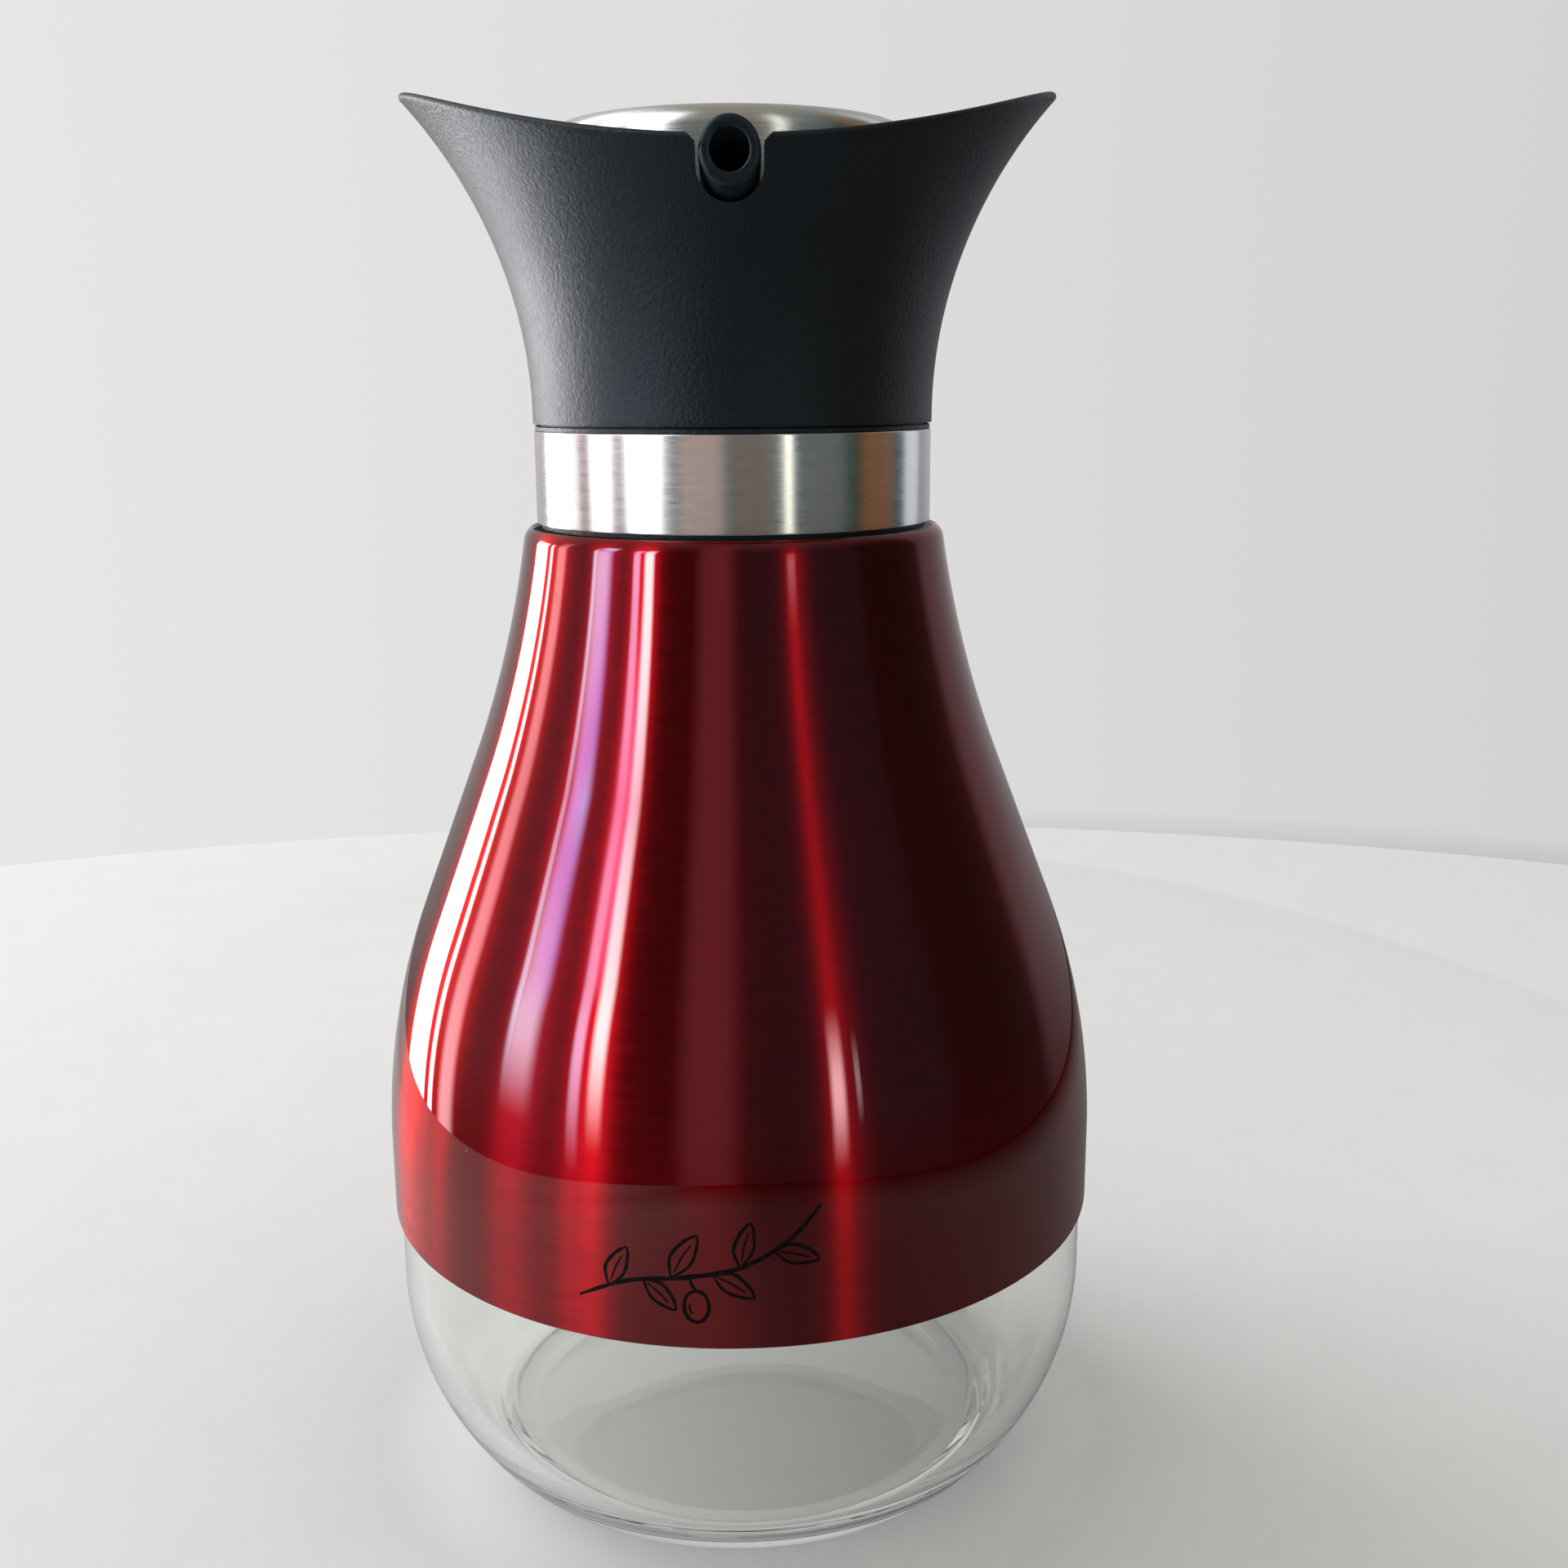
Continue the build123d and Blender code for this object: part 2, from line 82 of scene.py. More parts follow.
THREAD_PITCH = 4.2333
THREAD_FOOT_Z = 136.6
NECK_THREAD_TURNS = 1.75
COLLAR_THREAD_TURNS = 1.25
THREAD_DEPTH = 1.1
COLLAR_THREAD_DEPTH = 1.35
THREAD_ROOT_HALF = 1.0
THREAD_CREST_HALF = 0.5
THREAD_ROW = 0.16
THREAD_END_TURN = 0.05

COLLAR_R = 26.4
COLLAR_FOOT_Z = 134.6
COLLAR_INNER_R = 24.7
COLLAR_ROOF_Z = 147.0
COLLAR_TOP_Z = 148.3
COLLAR_FLANGE_R = 26.85
COLLAR_FLANGE_T = 0.6
COLLAR_LIP = 0.9
COLLAR_BORE_R = 19.0
RING_R = 27.0
RING_INNER_R = 26.45
RING_FOOT_Z = 135.4
RING_TOP_Z = 147.65
SHADOW_GAP = 0.2
SHADOW_GAP_R = 26.15
GASKET_R = (19.8, 24.2)

HEAD_R = 27.1
HEAD_WALL = 2.0
FLARE_FOOT_Z = 149.5
FLARE_ARC = 59.3
RIM_ARC = 103.5
RIM_LOW_Z = 181.3
RIM_ROUND = 0.45
RIM_BAND = 1.6
TROUGH_FLOOR_Z = 151.0
SOCKET_R = 13.0
SOCKET_OUTER_R = 14.6
SOCKET_TOP_Z = 156.0
SOCKET_FOOT_Z = 140.5
SPIGOT_INNER_R = 17.45
SPIGOT_R = 18.95
SPIGOT_FOOT_Z = 146.2
DRAIN_CIRCLE_R = 16.0
DRAIN_HOLE_R = 1.0
DRAIN_COUNT = 3

NOTCH_WIDTH = 7.9
NOTCH_LOW_Z = 174.1
NOTCH_CORNER = 1.0
SPOUT_CLEARANCE = 0.35
TUBE_R = 3.6
TUBE_BORE_R = 2.25
TUBE_TILT = math.radians(23.0)
MOUTH_Y = -35.0
MOUTH_Z = 179.7
MOUTH_CHAMFER = 0.35
TUBE_INNER_Y = -8.0
METER_R = 1.0
METER_LENGTH = 2.5

CAP_R = 24.0
CAP_WALL = 0.6
CAP_FOOT_Z = 158.3
CAP_EDGE_ROUND = 2.6
CAP_FOOT_CHAMFER = 0.12
CAP_HOLE_GAP = 0.12
CAP_EDGE_Z = 186.5
CAP_TOP_Z = 187.1
PLUG_R = 11.6
SEAL_R = 12.3
SEAL_FOOT_Z = 143.5
SEAL_RIB_PITCH = 3.2
SEAL_RIB_HALF = 0.9
SEAL_RIBS = 3
SLIP = 0.05
PLATE_Z = 157.0
VENT_Y = 5.5
VENT_R = 2.0
VENT_BORE_R = 0.9
VENT_FOOT_Z = 127.0
VENT_TOP_Z = 179.0

# ------------------------------------------------------------------ outline helpers


def arc(centre_r, centre_z, radius, start, end, steps=24):
    """Points of an arc, with angles in degrees counted from the +r direction."""
    points = []
    for i in range(steps + 1):
        a = math.radians(start + (end - start) * i / steps)
        points.append((centre_r + radius * math.cos(a), centre_z + radius * math.sin(a)))
    return points


def circle(count):
    """Angle, cosine and sine of evenly spaced directions."""
    angles = [2 * math.pi * i / count for i in range(count)]
    return [(a, math.cos(a), math.sin(a)) for a in angles]


def rounded(points, radii, steps=6):
    """An open polyline with the corners rounded: one radius per inner point, 0 for sharp."""
    result = [points[0]]
    for before, here, after, radius in zip(points, points[1:], points[2:], radii):
        if radius == 0:
            result.append(here)
            continue
        corner = Vector(here)
        to_before = (Vector(before) - corner).normalized()
        to_after = (Vector(after) - corner).normalized()
        half = to_before.angle(to_after) / 2
        reach = radius / math.tan(half)
        centre = corner + (to_before + to_after).normalized() * (radius / math.sin(half))
        first = corner + to_before * reach - centre
        last = corner + to_after * reach - centre
        sweep = first.angle_signed(last)
        for i in range(steps + 1):
            a = -sweep * i / steps
            x = first.x * math.cos(a) - first.y * math.sin(a)
            y = first.x * math.sin(a) + first.y * math.cos(a)
            result.append((centre.x + x, centre.y + y))
    result.append(points[-1])
    return result


def subdivided(start, end, step):
    """Points from start to end, both included, no more than step apart."""
    count = max(1, math.ceil(math.dist(start, end) / step))
    return [
        (start[0] + (end[0] - start[0]) * i / count, start[1] + (end[1] - start[1]) * i / count)
        for i in range(count + 1)
    ]


def stepped(r, z, *turns):
    """Corners of a square-cut outline from (r, z); turns are the next z, r, z, r and so on."""
    points = [(r, z)]
    for i, value in enumerate(turns):
        r, z = (value, z) if i % 2 else (r, value)
        points.append((r, z))
    return points


def dome_z(r, edge_r, rise, top_z):
    """Height at radius r of a shallow dome that rises by rise from its edge to top_z."""
    radius = (edge_r**2 + rise**2) / (2 * rise)
    return top_z - radius + math.sqrt(radius**2 - r**2)


def joined(*runs):
    """One outline from several runs, without the repeated joints."""
    points = []
    for run in runs:
        for point in run:
            if not points or math.dist(points[-1], point) > 1e-4:
                points.append(point)
    return points


# The body's side: upright, convex arc, straight flank, concave arc.
OUT = (math.cos(FLANK_LEAN), math.sin(FLANK_LEAN))
BELLY_CENTRE = (BODY_R - BELLY_ARC, BELLY_Z)
FLANK_START = (BELLY_CENTRE[0] + BELLY_ARC * OUT[0], BELLY_CENTRE[1] + BELLY_ARC * OUT[1])
FLANK_END = (FLANK_START[0] - FLANK_LENGTH * OUT[1], FLANK_START[1] + FLANK_LENGTH * OUT[0])
NECK_CENTRE = (FLANK_END[0] + NECK_ARC * OUT[0], FLANK_END[1] + NECK_ARC * OUT[1])


def body_r(z, inset=0.0):
    """Radius of the body's side at height z, inset from the sleeve's outside."""
    belly = BELLY_ARC - inset
    neck = NECK_ARC + inset
    if z <= BELLY_Z:
        return BODY_R - inset
    if z <= BELLY_Z + belly * OUT[1]:
        return BELLY_CENTRE[0] + math.sqrt(belly**2 - (z - BELLY_Z) ** 2)
    if z <= FLANK_END[1] - inset * OUT[1]:
        low = FLANK_START[1] - inset * OUT[1]
        return FLANK_START[0] - inset * OUT[0] - (z - low) * OUT[1] / OUT[0]
    return NECK_CENTRE[0] - math.sqrt(neck**2 - (NECK_CENTRE[1] - z) ** 2)


def body_side(inset, foot_z, top_z, step=1.0):
    """The body's side as points, from foot_z up to top_z."""
    count = math.ceil((top_z - foot_z) / step)
    heights = [foot_z + (top_z - foot_z) * i / count for i in range(count + 1)]
    return [(body_r(z, inset), z) for z in heights]


# ------------------------------------------------------------------ mesh helpers


def new_object(name, mesh, body):
    """Links a mesh as a piece; given a body, the piece rides on it."""
    piece = bpy.data.objects.new(name, mesh)
    bpy.context.scene.collection.objects.link(piece)
    if body:
        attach(piece, body)
    return piece


def finish_mesh(mesh, sharp=35.0):
    """Turns the faces outwards and shades them smooth up to a sharp angle."""
    work = bmesh.new()
    work.from_mesh(mesh)
    bmesh.ops.recalc_face_normals(work, faces=work.faces)
    work.to_mesh(mesh)
    work.free()
    mesh.shade_smooth()
    mesh.set_sharp_from_angle(angle=math.radians(sharp))


def skin(name, rings, closed):
    """A mesh over rings of points; a ring of one point is a pole on the axis."""
    vertices = []
    starts = []
    for ring in rings:
        starts.append(len(vertices))
        vertices.extend(Vector(point) * MM for point in ring)
    faces = []
    pairs = list(zip(range(len(rings)), range(1, len(rings))))
    if closed:
        pairs.append((len(rings) - 1, 0))
    for low, high in pairs:
        a, b = starts[low], starts[high]
        n, m = len(rings[low]), len(rings[high])
        count = max(n, m)
        for i in range(count):
            j = (i + 1) % count
            if n == 1:
                faces.append((a, b + j, b + i))
            elif m == 1:
                faces.append((a + i, a + j, b))
            else:
                faces.append((a + i, a + j, b + j, b + i))
    mesh = bpy.data.meshes.new(name)
    mesh.from_pydata(vertices, [], faces)
    finish_mesh(mesh)
    return mesh


def turned(name, outline, closed=True, segments=SEGMENTS, shape=None, centre=(0.0, 0.0)):
    """Turns an outline about a vertical axis. shape(r, z, angle) may move each radius."""
    rings = []
    for r, z in outline:
        if r < 1e-6:
            rings.append([(*centre, z)])
            continue
        ring = []
        for a, c, s in circle(segments):
            radius = shape(r, z, a) if shape else r
            ring.append((centre[0] + radius * c, centre[1] + radius * s, z))
        rings.append(ring)
    return skin(name, rings, closed)


def smooth_step(x):
    """0 below 0, 1 above 1, with a smooth rise between."""
    x = min(1.0, max(0.0, x))
    return x * x * (3 - 2 * x)


def thread_height(z, angle, foot_z, turns):
    """Height of a helical ridge, 0 to 1, at a height and an angle on a cylinder."""
    height = 0.0
    start = angle / (2 * math.pi)
    for k in range(int(turns) + 1):
        turn = start + k
        if turn > turns:
            continue
        away = abs(z - foot_z - THREAD_PITCH * turn)
        flank = (THREAD_ROOT_HALF - away) / (THREAD_ROOT_HALF - THREAD_CREST_HALF)
        ends = min(turn, turns - turn) / THREAD_END_TURN
        height = max(height, smooth_step(flank) * smooth_step(ends))
    return height


def ripple(z, angle):
    """Gentle unevenness of the drawn sleeve, in mm."""
    slow = math.sin(3 * angle + z / 17.0) + math.sin(5 * angle - z / 11.0 + 1.3)
    quick = math.sin(9 * angle + z / 6.1 + 0.7) + math.sin(7 * angle - z / 7.7 + 2.1)
    return 0.010 * slow + 0.003 * quick


def waviness(z, angle):
    """Unevenness of the blown inside of the bottle, in mm."""
    slow = math.sin(2 * angle + z / 23.0 + 0.4) + math.sin(3 * angle - z / 15.0 + 2.0)
    quick = math.sin(5 * angle + z / 9.0) * math.cos(z / 13.0 + 1.0)
    return 0.12 * slow + 0.05 * quick


def cut(piece, cutter_mesh):
    """Cuts a closed mesh out of a piece."""
    cutter = bpy.data.objects.new("cutter", cutter_mesh)
    bpy.context.scene.collection.objects.link(cutter)
    modifier = piece.modifiers.new("cut", "BOOLEAN")
    modifier.operation = "DIFFERENCE"
    modifier.solver = "EXACT"
    modifier.object = cutter
    depsgraph = bpy.context.evaluated_depsgraph_get()
    mesh = bpy.data.meshes.new_from_object(piece.evaluated_get(depsgraph), depsgraph=depsgraph)
    piece.modifiers.clear()
    old = piece.data
    piece.data = mesh
    mesh.name = piece.name
    bpy.data.meshes.remove(old)
    bpy.data.objects.remove(cutter)
    bpy.data.meshes.remove(cutter_mesh)
    mesh.shade_smooth()
    mesh.set_sharp_from_angle(angle=math.radians(35))


def prism(points, low_y, high_y):
    """A closed mesh from an (x, z) polygon, extruded along Y."""
    middle_x = sum(x for x, _ in points) / len(points)
    middle_z = sum(z for _, z in points) / len(points)
    low, high = [[(x, y, z) for x, z in points] for y in (low_y, high_y)]
    poles = [[(middle_x, y, middle_z)] for y in (low_y, high_y)]
    return skin("prism", [poles[0], low, high, poles[1]], False)


def tube_frame():
    """Right, up and along directions of the spout; along runs from the mouth inwards."""
    along = Vector((0, math.cos(TUBE_TILT), -math.sin(TUBE_TILT)))
    right = Vector((1, 0, 0))
    return right, right.cross(along), along


def rod(radius, start, end, steps=64):
    """A closed cylinder along the spout's axis, from start to end mm behind the mouth."""
    right, up, along = tube_frame()
    mouth = Vector((0, MOUTH_Y, MOUTH_Z))
    ends = [mouth + along * start, mouth + along * end]
    rings = [[end + (right * c + up * s) * radius for _, c, s in circle(steps)] for end in ends]
    return skin("rod", [[ends[0]], *rings, [ends[1]]], False)


# ------------------------------------------------------------------ material helpers


class Tree:
    """Short calls for building a node tree. A value is a number, a colour or another output."""

    def __init__(self, tree):
        self.tree = tree

    def link(self, source, target):
        self.tree.links.new(source, target)

    def add(self, kind, **settings):
        node = self.tree.nodes.new("ShaderNode" + kind)
        for key, value in settings.items():
            setattr(node, key, value)
        return node

    def feed_all(self, node, **values):
        for key, value in values.items():
            self.feed(value, node.inputs[key.replace("_", " ")])

    def feed(self, value, socket):
        if isinstance(value, tuple):
            socket.default_value = (*value, 1.0)
        elif isinstance(value, (int, float)):
            socket.default_value = value
        else:
            self.link(value, socket)

    def math(self, operation, a, b=0.0):
        node = self.add("Math", operation=operation)
        self.feed(a, node.inputs[0])
        self.feed(b, node.inputs[1])
        return node.outputs[0]

    def span(self, value, low, high, to_low=0.0, to_high=1.0, kind="LINEAR"):
        """Maps value from low..high to to_low..to_high, clamped."""
        node = self.add("MapRange", interpolation_type=kind)
        self.feed_all(node, Value=value, From_Min=low, From_Max=high, To_Min=to_low, To_Max=to_high)
        return node.outputs[0]

    def blend(self, factor, a, b):
        """A colour between a and b."""
        node = self.add("Mix", data_type="RGBA")
        for index, value in ((0, factor), (6, a), (7, b)):
            self.feed(value, node.inputs[index])
        return node.outputs[2]

    def split(self, vector):
        """The x, y and z of a vector."""
        node = self.add("SeparateXYZ")
        self.link(vector, node.inputs[0])
        return node.outputs

    def combine(self, *values):
        """A vector from its first values; the rest are 0."""
        node = self.add("CombineXYZ")
        for value, socket in zip(values, node.inputs):
            self.link(value, socket)
        return node.outputs[0]

    def length(self, vector):
        node = self.add("VectorMath", operation="LENGTH")
        self.link(vector, node.inputs[0])
        return node.outputs["Value"]


class Nodes(Tree):
    """The node tree of one new material."""

    def __init__(self, name, **constants):
        self.material = bpy.data.materials.new(name)
        self.material.use_nodes = True
        super().__init__(self.material.node_tree)
        self.tree.nodes.clear()
        self.shader = self.add("BsdfPrincipled")
        self.link(self.shader.outputs[0], self.add("OutputMaterial").inputs["Surface"])
        for key, value in constants.items():
            self.shader.inputs[key.replace("_", " ")].default_value = value

    def finish(self, **values):
        """Links outputs to the shader's sockets, and gives the material."""
        for key, value in values.items():
            self.link(value, self.shader.inputs[key.replace("_", " ")])
        return self.material

    def position(self, scale=(1, 1, 1)):
        """The piece's own coordinates in metres, scaled on each axis."""
        coordinates = self.add("TexCoord")
        mapping = self.add("Mapping")
        mapping.inputs["Scale"].default_value = scale
        self.link(coordinates.outputs["Object"], mapping.inputs["Vector"])
        return mapping.outputs[0]

    def round_position(self, around, up):
        """Coordinates on the unit circle times around, and height times up: for brushing."""
        x, y, z = self.split(self.add("TexCoord").outputs["Object"])
        unit = self.add("VectorMath", operation="NORMALIZE")
        self.link(self.combine(x, y), unit.inputs[0])
        scaled = self.add("VectorMath", operation="SCALE")
        self.link(unit.outputs[0], scaled.inputs[0])
        scaled.inputs["Scale"].default_value = around
        round_x, round_y, _ = self.split(scaled.outputs[0])
        return self.combine(round_x, round_y, self.math("MULTIPLY", z, up))

    def noise(self, vector, scale=1.0, detail=3.0, roughness=0.55):
        node = self.add("TexNoise")
        self.feed_all(node, Vector=vector, Scale=scale, Detail=detail, Roughness=roughness)
        return node.outputs["Fac"]

    def specks(self, scale, size, rarity):
        """1 on small scattered dots, 0 elsewhere; only cells above rarity hold one."""
        cells = self.add("TexVoronoi")
        self.feed_all(cells, Vector=self.position(), Scale=scale)
        dot = self.span(cells.outputs["Distance"], size, size * 1.6, 1.0, 0.0)
        chance = self.split(cells.outputs["Color"])[0]
        return self.math("MULTIPLY", dot, self.math("GREATER_THAN", chance, rarity))

    def bump(self, height, distance, strength, into="Normal"):
        node = self.add("Bump")
        self.feed_all(node, Strength=strength, Distance=distance, Height=height)
        self.link(node.outputs[0], self.shader.inputs[into])

    def brushed_round(self):
        """Points the anisotropy along the axis, across the brushing."""
        tangent = self.add("Tangent", direction_type="RADIAL", axis="Z")
        self.link(tangent.outputs[0], self.shader.inputs["Tangent"])
        self.shader.inputs["Anisotropic Rotation"].default_value = 0.25

    def streaks(self, fine, broad):
        """Brush marks round the axis, from two noises given as (around, up)."""
        marks = self.math("MULTIPLY", self.noise(self.round_position(*fine), 1.0, 2.0), 0.6)
        sweeps = self.math("MULTIPLY", self.noise(self.round_position(*broad), 1.0, 3.0), 0.4)
        return self.math("ADD", marks, sweeps)


# ------------------------------------------------------------------ materials


def clear_glass():
    n = Nodes(
        "clear_glass",
        Base_Color=(0.974, 0.983, 0.963, 1.0),
        IOR=1.5,
        Transmission_Weight=1.0,
    )
    smear = n.noise(n.position((1, 1, 0.4)), 90.0, 4.0)
    n.bump(n.noise(n.position(), 140.0, 2.0), 0.00002, 0.35)
    return n.finish(Roughness=n.span(smear, 0.62, 0.8, 0.0, 0.05))


def red_lacquer():
    """Clear red lacquer over brushed steel, with a little dust on it."""
    n = Nodes(
        "red_lacquer_on_brushed_steel",
        Metallic=1.0,
        Anisotropic=1.0,
        Coat_Weight=1.0,
        Coat_Roughness=0.015,
        Coat_IOR=1.5,
        Specular_Tint=(0.40, 0.02, 0.03, 1.0),
    )
    n.brushed_round()
    streaks = n.streaks((14.0, 5200.0), (5.0, 900.0))
    cloud = n.noise(n.position((1, 1, 0.5)), 26.0, 2.0)
    colour = n.blend(n.span(streaks, 0.35, 0.65), (0.27, 0.0015, 0.004), (0.36, 0.0026, 0.006))
    patch = n.blend(n.span(cloud, 0.3, 0.7, 0.0, 0.25), colour, (0.20, 0.0012, 0.004))
    dusty = n.blend(n.specks(230.0, 0.035, 0.9), patch, (0.75, 0.30, 0.32))
    n.bump(streaks, 0.000004, 0.5)
    n.bump(n.noise(n.position(), 75.0, 2.0), 0.00003, 0.25, into="Coat Normal")
    return n.finish(Base_Color=dusty, Roughness=n.span(streaks, 0.3, 0.7, 0.29, 0.39))


def brushed_steel(name="brushed_steel", roughness=(0.25, 0.34)):
    n = Nodes(name, Metallic=1.0, Anisotropic=1.0)
    n.brushed_round()
    streaks = n.streaks((12.0, 6000.0), (4.0, 1100.0))
    colour = n.blend(n.span(streaks, 0.35, 0.65), (0.76, 0.745, 0.72), (0.90, 0.89, 0.87))
    n.bump(streaks, 0.000003, 0.5)
    return n.finish(Base_Color=colour, Roughness=n.span(streaks, 0.3, 0.7, *roughness))


def cap_steel():
    """Steel brushed in rings on the cap's top, with a few smudges."""
    n = Nodes("cap_steel", Metallic=1.0, Anisotropic=0.7)
    n.brushed_round()
    x, y, z = n.split(n.add("TexCoord").outputs["Object"])
    away = n.math("MULTIPLY", n.length(n.combine(x, y)), 5200.0)
    fine = n.noise(n.combine(away, n.math("MULTIPLY", z, 5200.0)), 1.0, 2.0)
    smudge = n.noise(n.position(), 110.0, 4.0)
    colour = n.blend(n.span(fine, 0.35, 0.65), (0.72, 0.70, 0.66), (0.86, 0.845, 0.81))
    rough = n.math("ADD", n.span(fine, 0.3, 0.7, 0.22, 0.30), n.span(smudge, 0.4, 0.8, 0.0, 0.06))
    n.bump(fine, 0.000004, 0.5)
    return n.finish(Base_Color=colour, Roughness=rough)


def black_plastic():
    """Satin black moulding with a fine spark-eroded grain."""
    n = Nodes("black_grained_plastic", IOR=1.5, Specular_Tint=(0.74, 0.88, 1.0, 1.0))
    place = n.position()
    grain = n.noise(place, 2300.0, 4.0, 0.65)
    pits = n.add("TexVoronoi", feature="SMOOTH_F1")
    n.feed_all(pits, Vector=place, Scale=1700.0)
    height = n.math("ADD", n.math("MULTIPLY", grain, 0.7), n.math("MULTIPLY", pits.outputs[0], 0.3))
    wear = n.noise(place, 55.0, 4.0)
    dust = n.noise(place, 700.0, 2.0)
    colour = n.blend(n.span(wear, 0.35, 0.7), (0.0018, 0.003, 0.005), (0.003, 0.005, 0.0075))
    dusty = n.blend(n.span(dust, 0.72, 0.8, 0.0, 0.5), colour, (0.03, 0.03, 0.032))
    rough = n.math("ADD", n.span(wear, 0.3, 0.7, 0.36, 0.43), n.span(grain, 0.3, 0.7, 0.0, 0.10))
    n.bump(height, 0.00017, 0.8)
    return n.finish(Base_Color=dusty, Roughness=rough)


def mottled(n, pattern, colours, roughness, bump, spread=(0.3, 0.7)):
    """Lets one pattern drive the tint, the roughness and the bump of a plain material."""
    n.bump(pattern, *bump)
    return n.finish(
        Base_Color=n.blend(n.span(pattern, *spread), *colours),
        Roughness=n.span(pattern, 0.3, 0.7, *roughness),
    )


def spout_plastic():
    """Smoother, slightly bluish black moulding of the spout."""
    n = Nodes("spout_plastic", IOR=1.5, Specular_Tint=(0.55, 0.85, 1.0, 1.0))
    colours = (0.005, 0.006, 0.008), (0.009, 0.011, 0.013)
    return mottled(n, n.noise(n.position(), 900.0), colours, (0.28, 0.42), (0.00004, 0.5))


def silicone():
    n = Nodes("milky_silicone", Subsurface_Weight=0.35, Subsurface_Scale=0.0015, IOR=1.43)
    colours = (0.70, 0.71, 0.70), (0.80, 0.81, 0.80)
    return mottled(n, n.noise(n.position(), 300.0), colours, (0.42, 0.55), (0.00003, 0.4))


def vent_plastic():
    n = Nodes("milky_plastic", IOR=1.5, Subsurface_Weight=0.2, Subsurface_Scale=0.001)
    cloud = n.noise(n.position((1, 1, 0.1)), 500.0)
    colours = (0.74, 0.74, 0.71), (0.82, 0.82, 0.80)
    return mottled(n, cloud, colours, (0.3, 0.42), (0.00002, 0.3))


def black_tape():
    n = Nodes("black_tape")
    weave = n.noise(n.round_position(60.0, 1600.0))
    colours = (0.012, 0.012, 0.013), (0.03, 0.03, 0.03)
    return mottled(n, weave, colours, (0.6, 0.8), (0.00004, 0.6))


def black_ink():
    """Screen-printed ink, a little thin and broken in places."""
    n = Nodes("black_ink", Specular_IOR_Level=0.12)
    wear = n.noise(n.position(), 1300.0)
    colours = (0.003, 0.002, 0.003), (0.02, 0.004, 0.006)
    return mottled(n, wear, colours, (0.3, 0.5), (0.00001, 0.5), spread=(0.55, 0.75))


# ------------------------------------------------------------------ bottle pieces


def make_bottle():
    heel_drop = math.degrees(math.asin(HEEL_Z / HEEL_ARC))
    outset = BODY_R - GLASS_R
    heel_r = GLASS_R - HEEL_ARC
    inner_arc = HEEL_ARC - GLASS_WALL
    corner_z = FLOOR_EDGE_Z + FLOOR_CORNER_R
    corner_turn = math.asin((HEEL_Z - corner_z) / (inner_arc - FLOOR_CORNER_R))
    corner_r = heel_r + (inner_arc - FLOOR_CORNER_R) * math.cos(corner_turn)
    corner_turn = math.degrees(corner_turn)
    steps = [FOOT_INNER_R * i / 16 for i in range(16)]
    punt = [(r, dome_z(r, FOOT_INNER_R, PUNT_RISE, PUNT_RISE)) for r in steps]
    foot = rounded([punt[-1], (FOOT_INNER_R, 0.0), (FOOT_OUTER_R, 0.0), HEEL_FOOT], [1.0, 1.6])
    heel = arc(heel_r, HEEL_Z, HEEL_ARC, -heel_drop, 0, 48)
    heel = [point for point in heel if point[1] > HEEL_FOOT[1] + 0.1]
    side = body_side(outset, HEEL_Z, SHOULDER_FOOT_Z - 0.5)
    shoulder = rounded(
        [
            side[-1],
            (body_r(SHOULDER_FOOT_Z, outset), SHOULDER_FOOT_Z),
            (NECK_R, NECK_FOOT_Z),
            (NECK_R, NECK_STRAIGHT_Z),
        ],
        [3.0, 1.0],
    )
    thread_rows = subdivided((NECK_R, NECK_STRAIGHT_Z), (NECK_R, RIM_Z - 0.8), THREAD_ROW)
    lip = rounded(stepped(*thread_rows[-1], RIM_Z, NECK_BORE_R, RIM_Z - 9.4), [0.75, 0.9])
    inset = outset + GLASS_WALL
    inside = list(reversed(body_side(inset, HEEL_Z, CAVITY_TOP_Z - 1)))
    throat_corner = (body_r(CAVITY_TOP_Z, inset), CAVITY_TOP_Z)
    throat = rounded([lip[-1], (NECK_BORE_R, BORE_FOOT_Z), throat_corner, inside[0]], [4.0, 4.5], 8)
    inner_heel = arc(heel_r, HEEL_Z, inner_arc, 0, -corner_turn, 24)
    floor_corner = arc(corner_r, corner_z, FLOOR_CORNER_R, -corner_turn, -90, 20)
    steps = [corner_r * i / 14 for i in range(14, -1, -1)]
    floor_rise = FLOOR_CENTRE_Z - FLOOR_EDGE_Z
    floor = [(r, dome_z(r, corner_r, floor_rise, FLOOR_CENTRE_Z)) for r in steps]
    floor[-1] = (0.0, FLOOR_CENTRE_Z)
    neck = joined(side, shoulder, thread_rows, lip, throat)
    outline = joined(punt, foot, heel, neck, inside, inner_heel, floor_corner, floor)
    outline[0] = (0.0, PUNT_RISE)
    inner_points = set(outline[outline.index(lip[-1]) :])

    def shape(r, z, angle):
        if abs(r - NECK_R) < 1e-6:
            return r + THREAD_DEPTH * thread_height(z, angle, THREAD_FOOT_Z, NECK_THREAD_TURNS)
        if (r, z) in inner_points:
            fade = smooth_step((z - 8.0) / 18.0) * smooth_step((128.0 - z) / 10.0)
            return r + waviness(z, angle) * fade
        return r

    mesh = turned("bottle", outline, closed=False, shape=shape)
    bottle = new_object("bottle", mesh, "bottle")
    mesh.materials.append(clear_glass())
    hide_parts("glass_bottle")


def sleeve_r(z, angle):
    """Outside radius of the uneven sleeve."""
    return body_r(z) + ripple(z, angle)


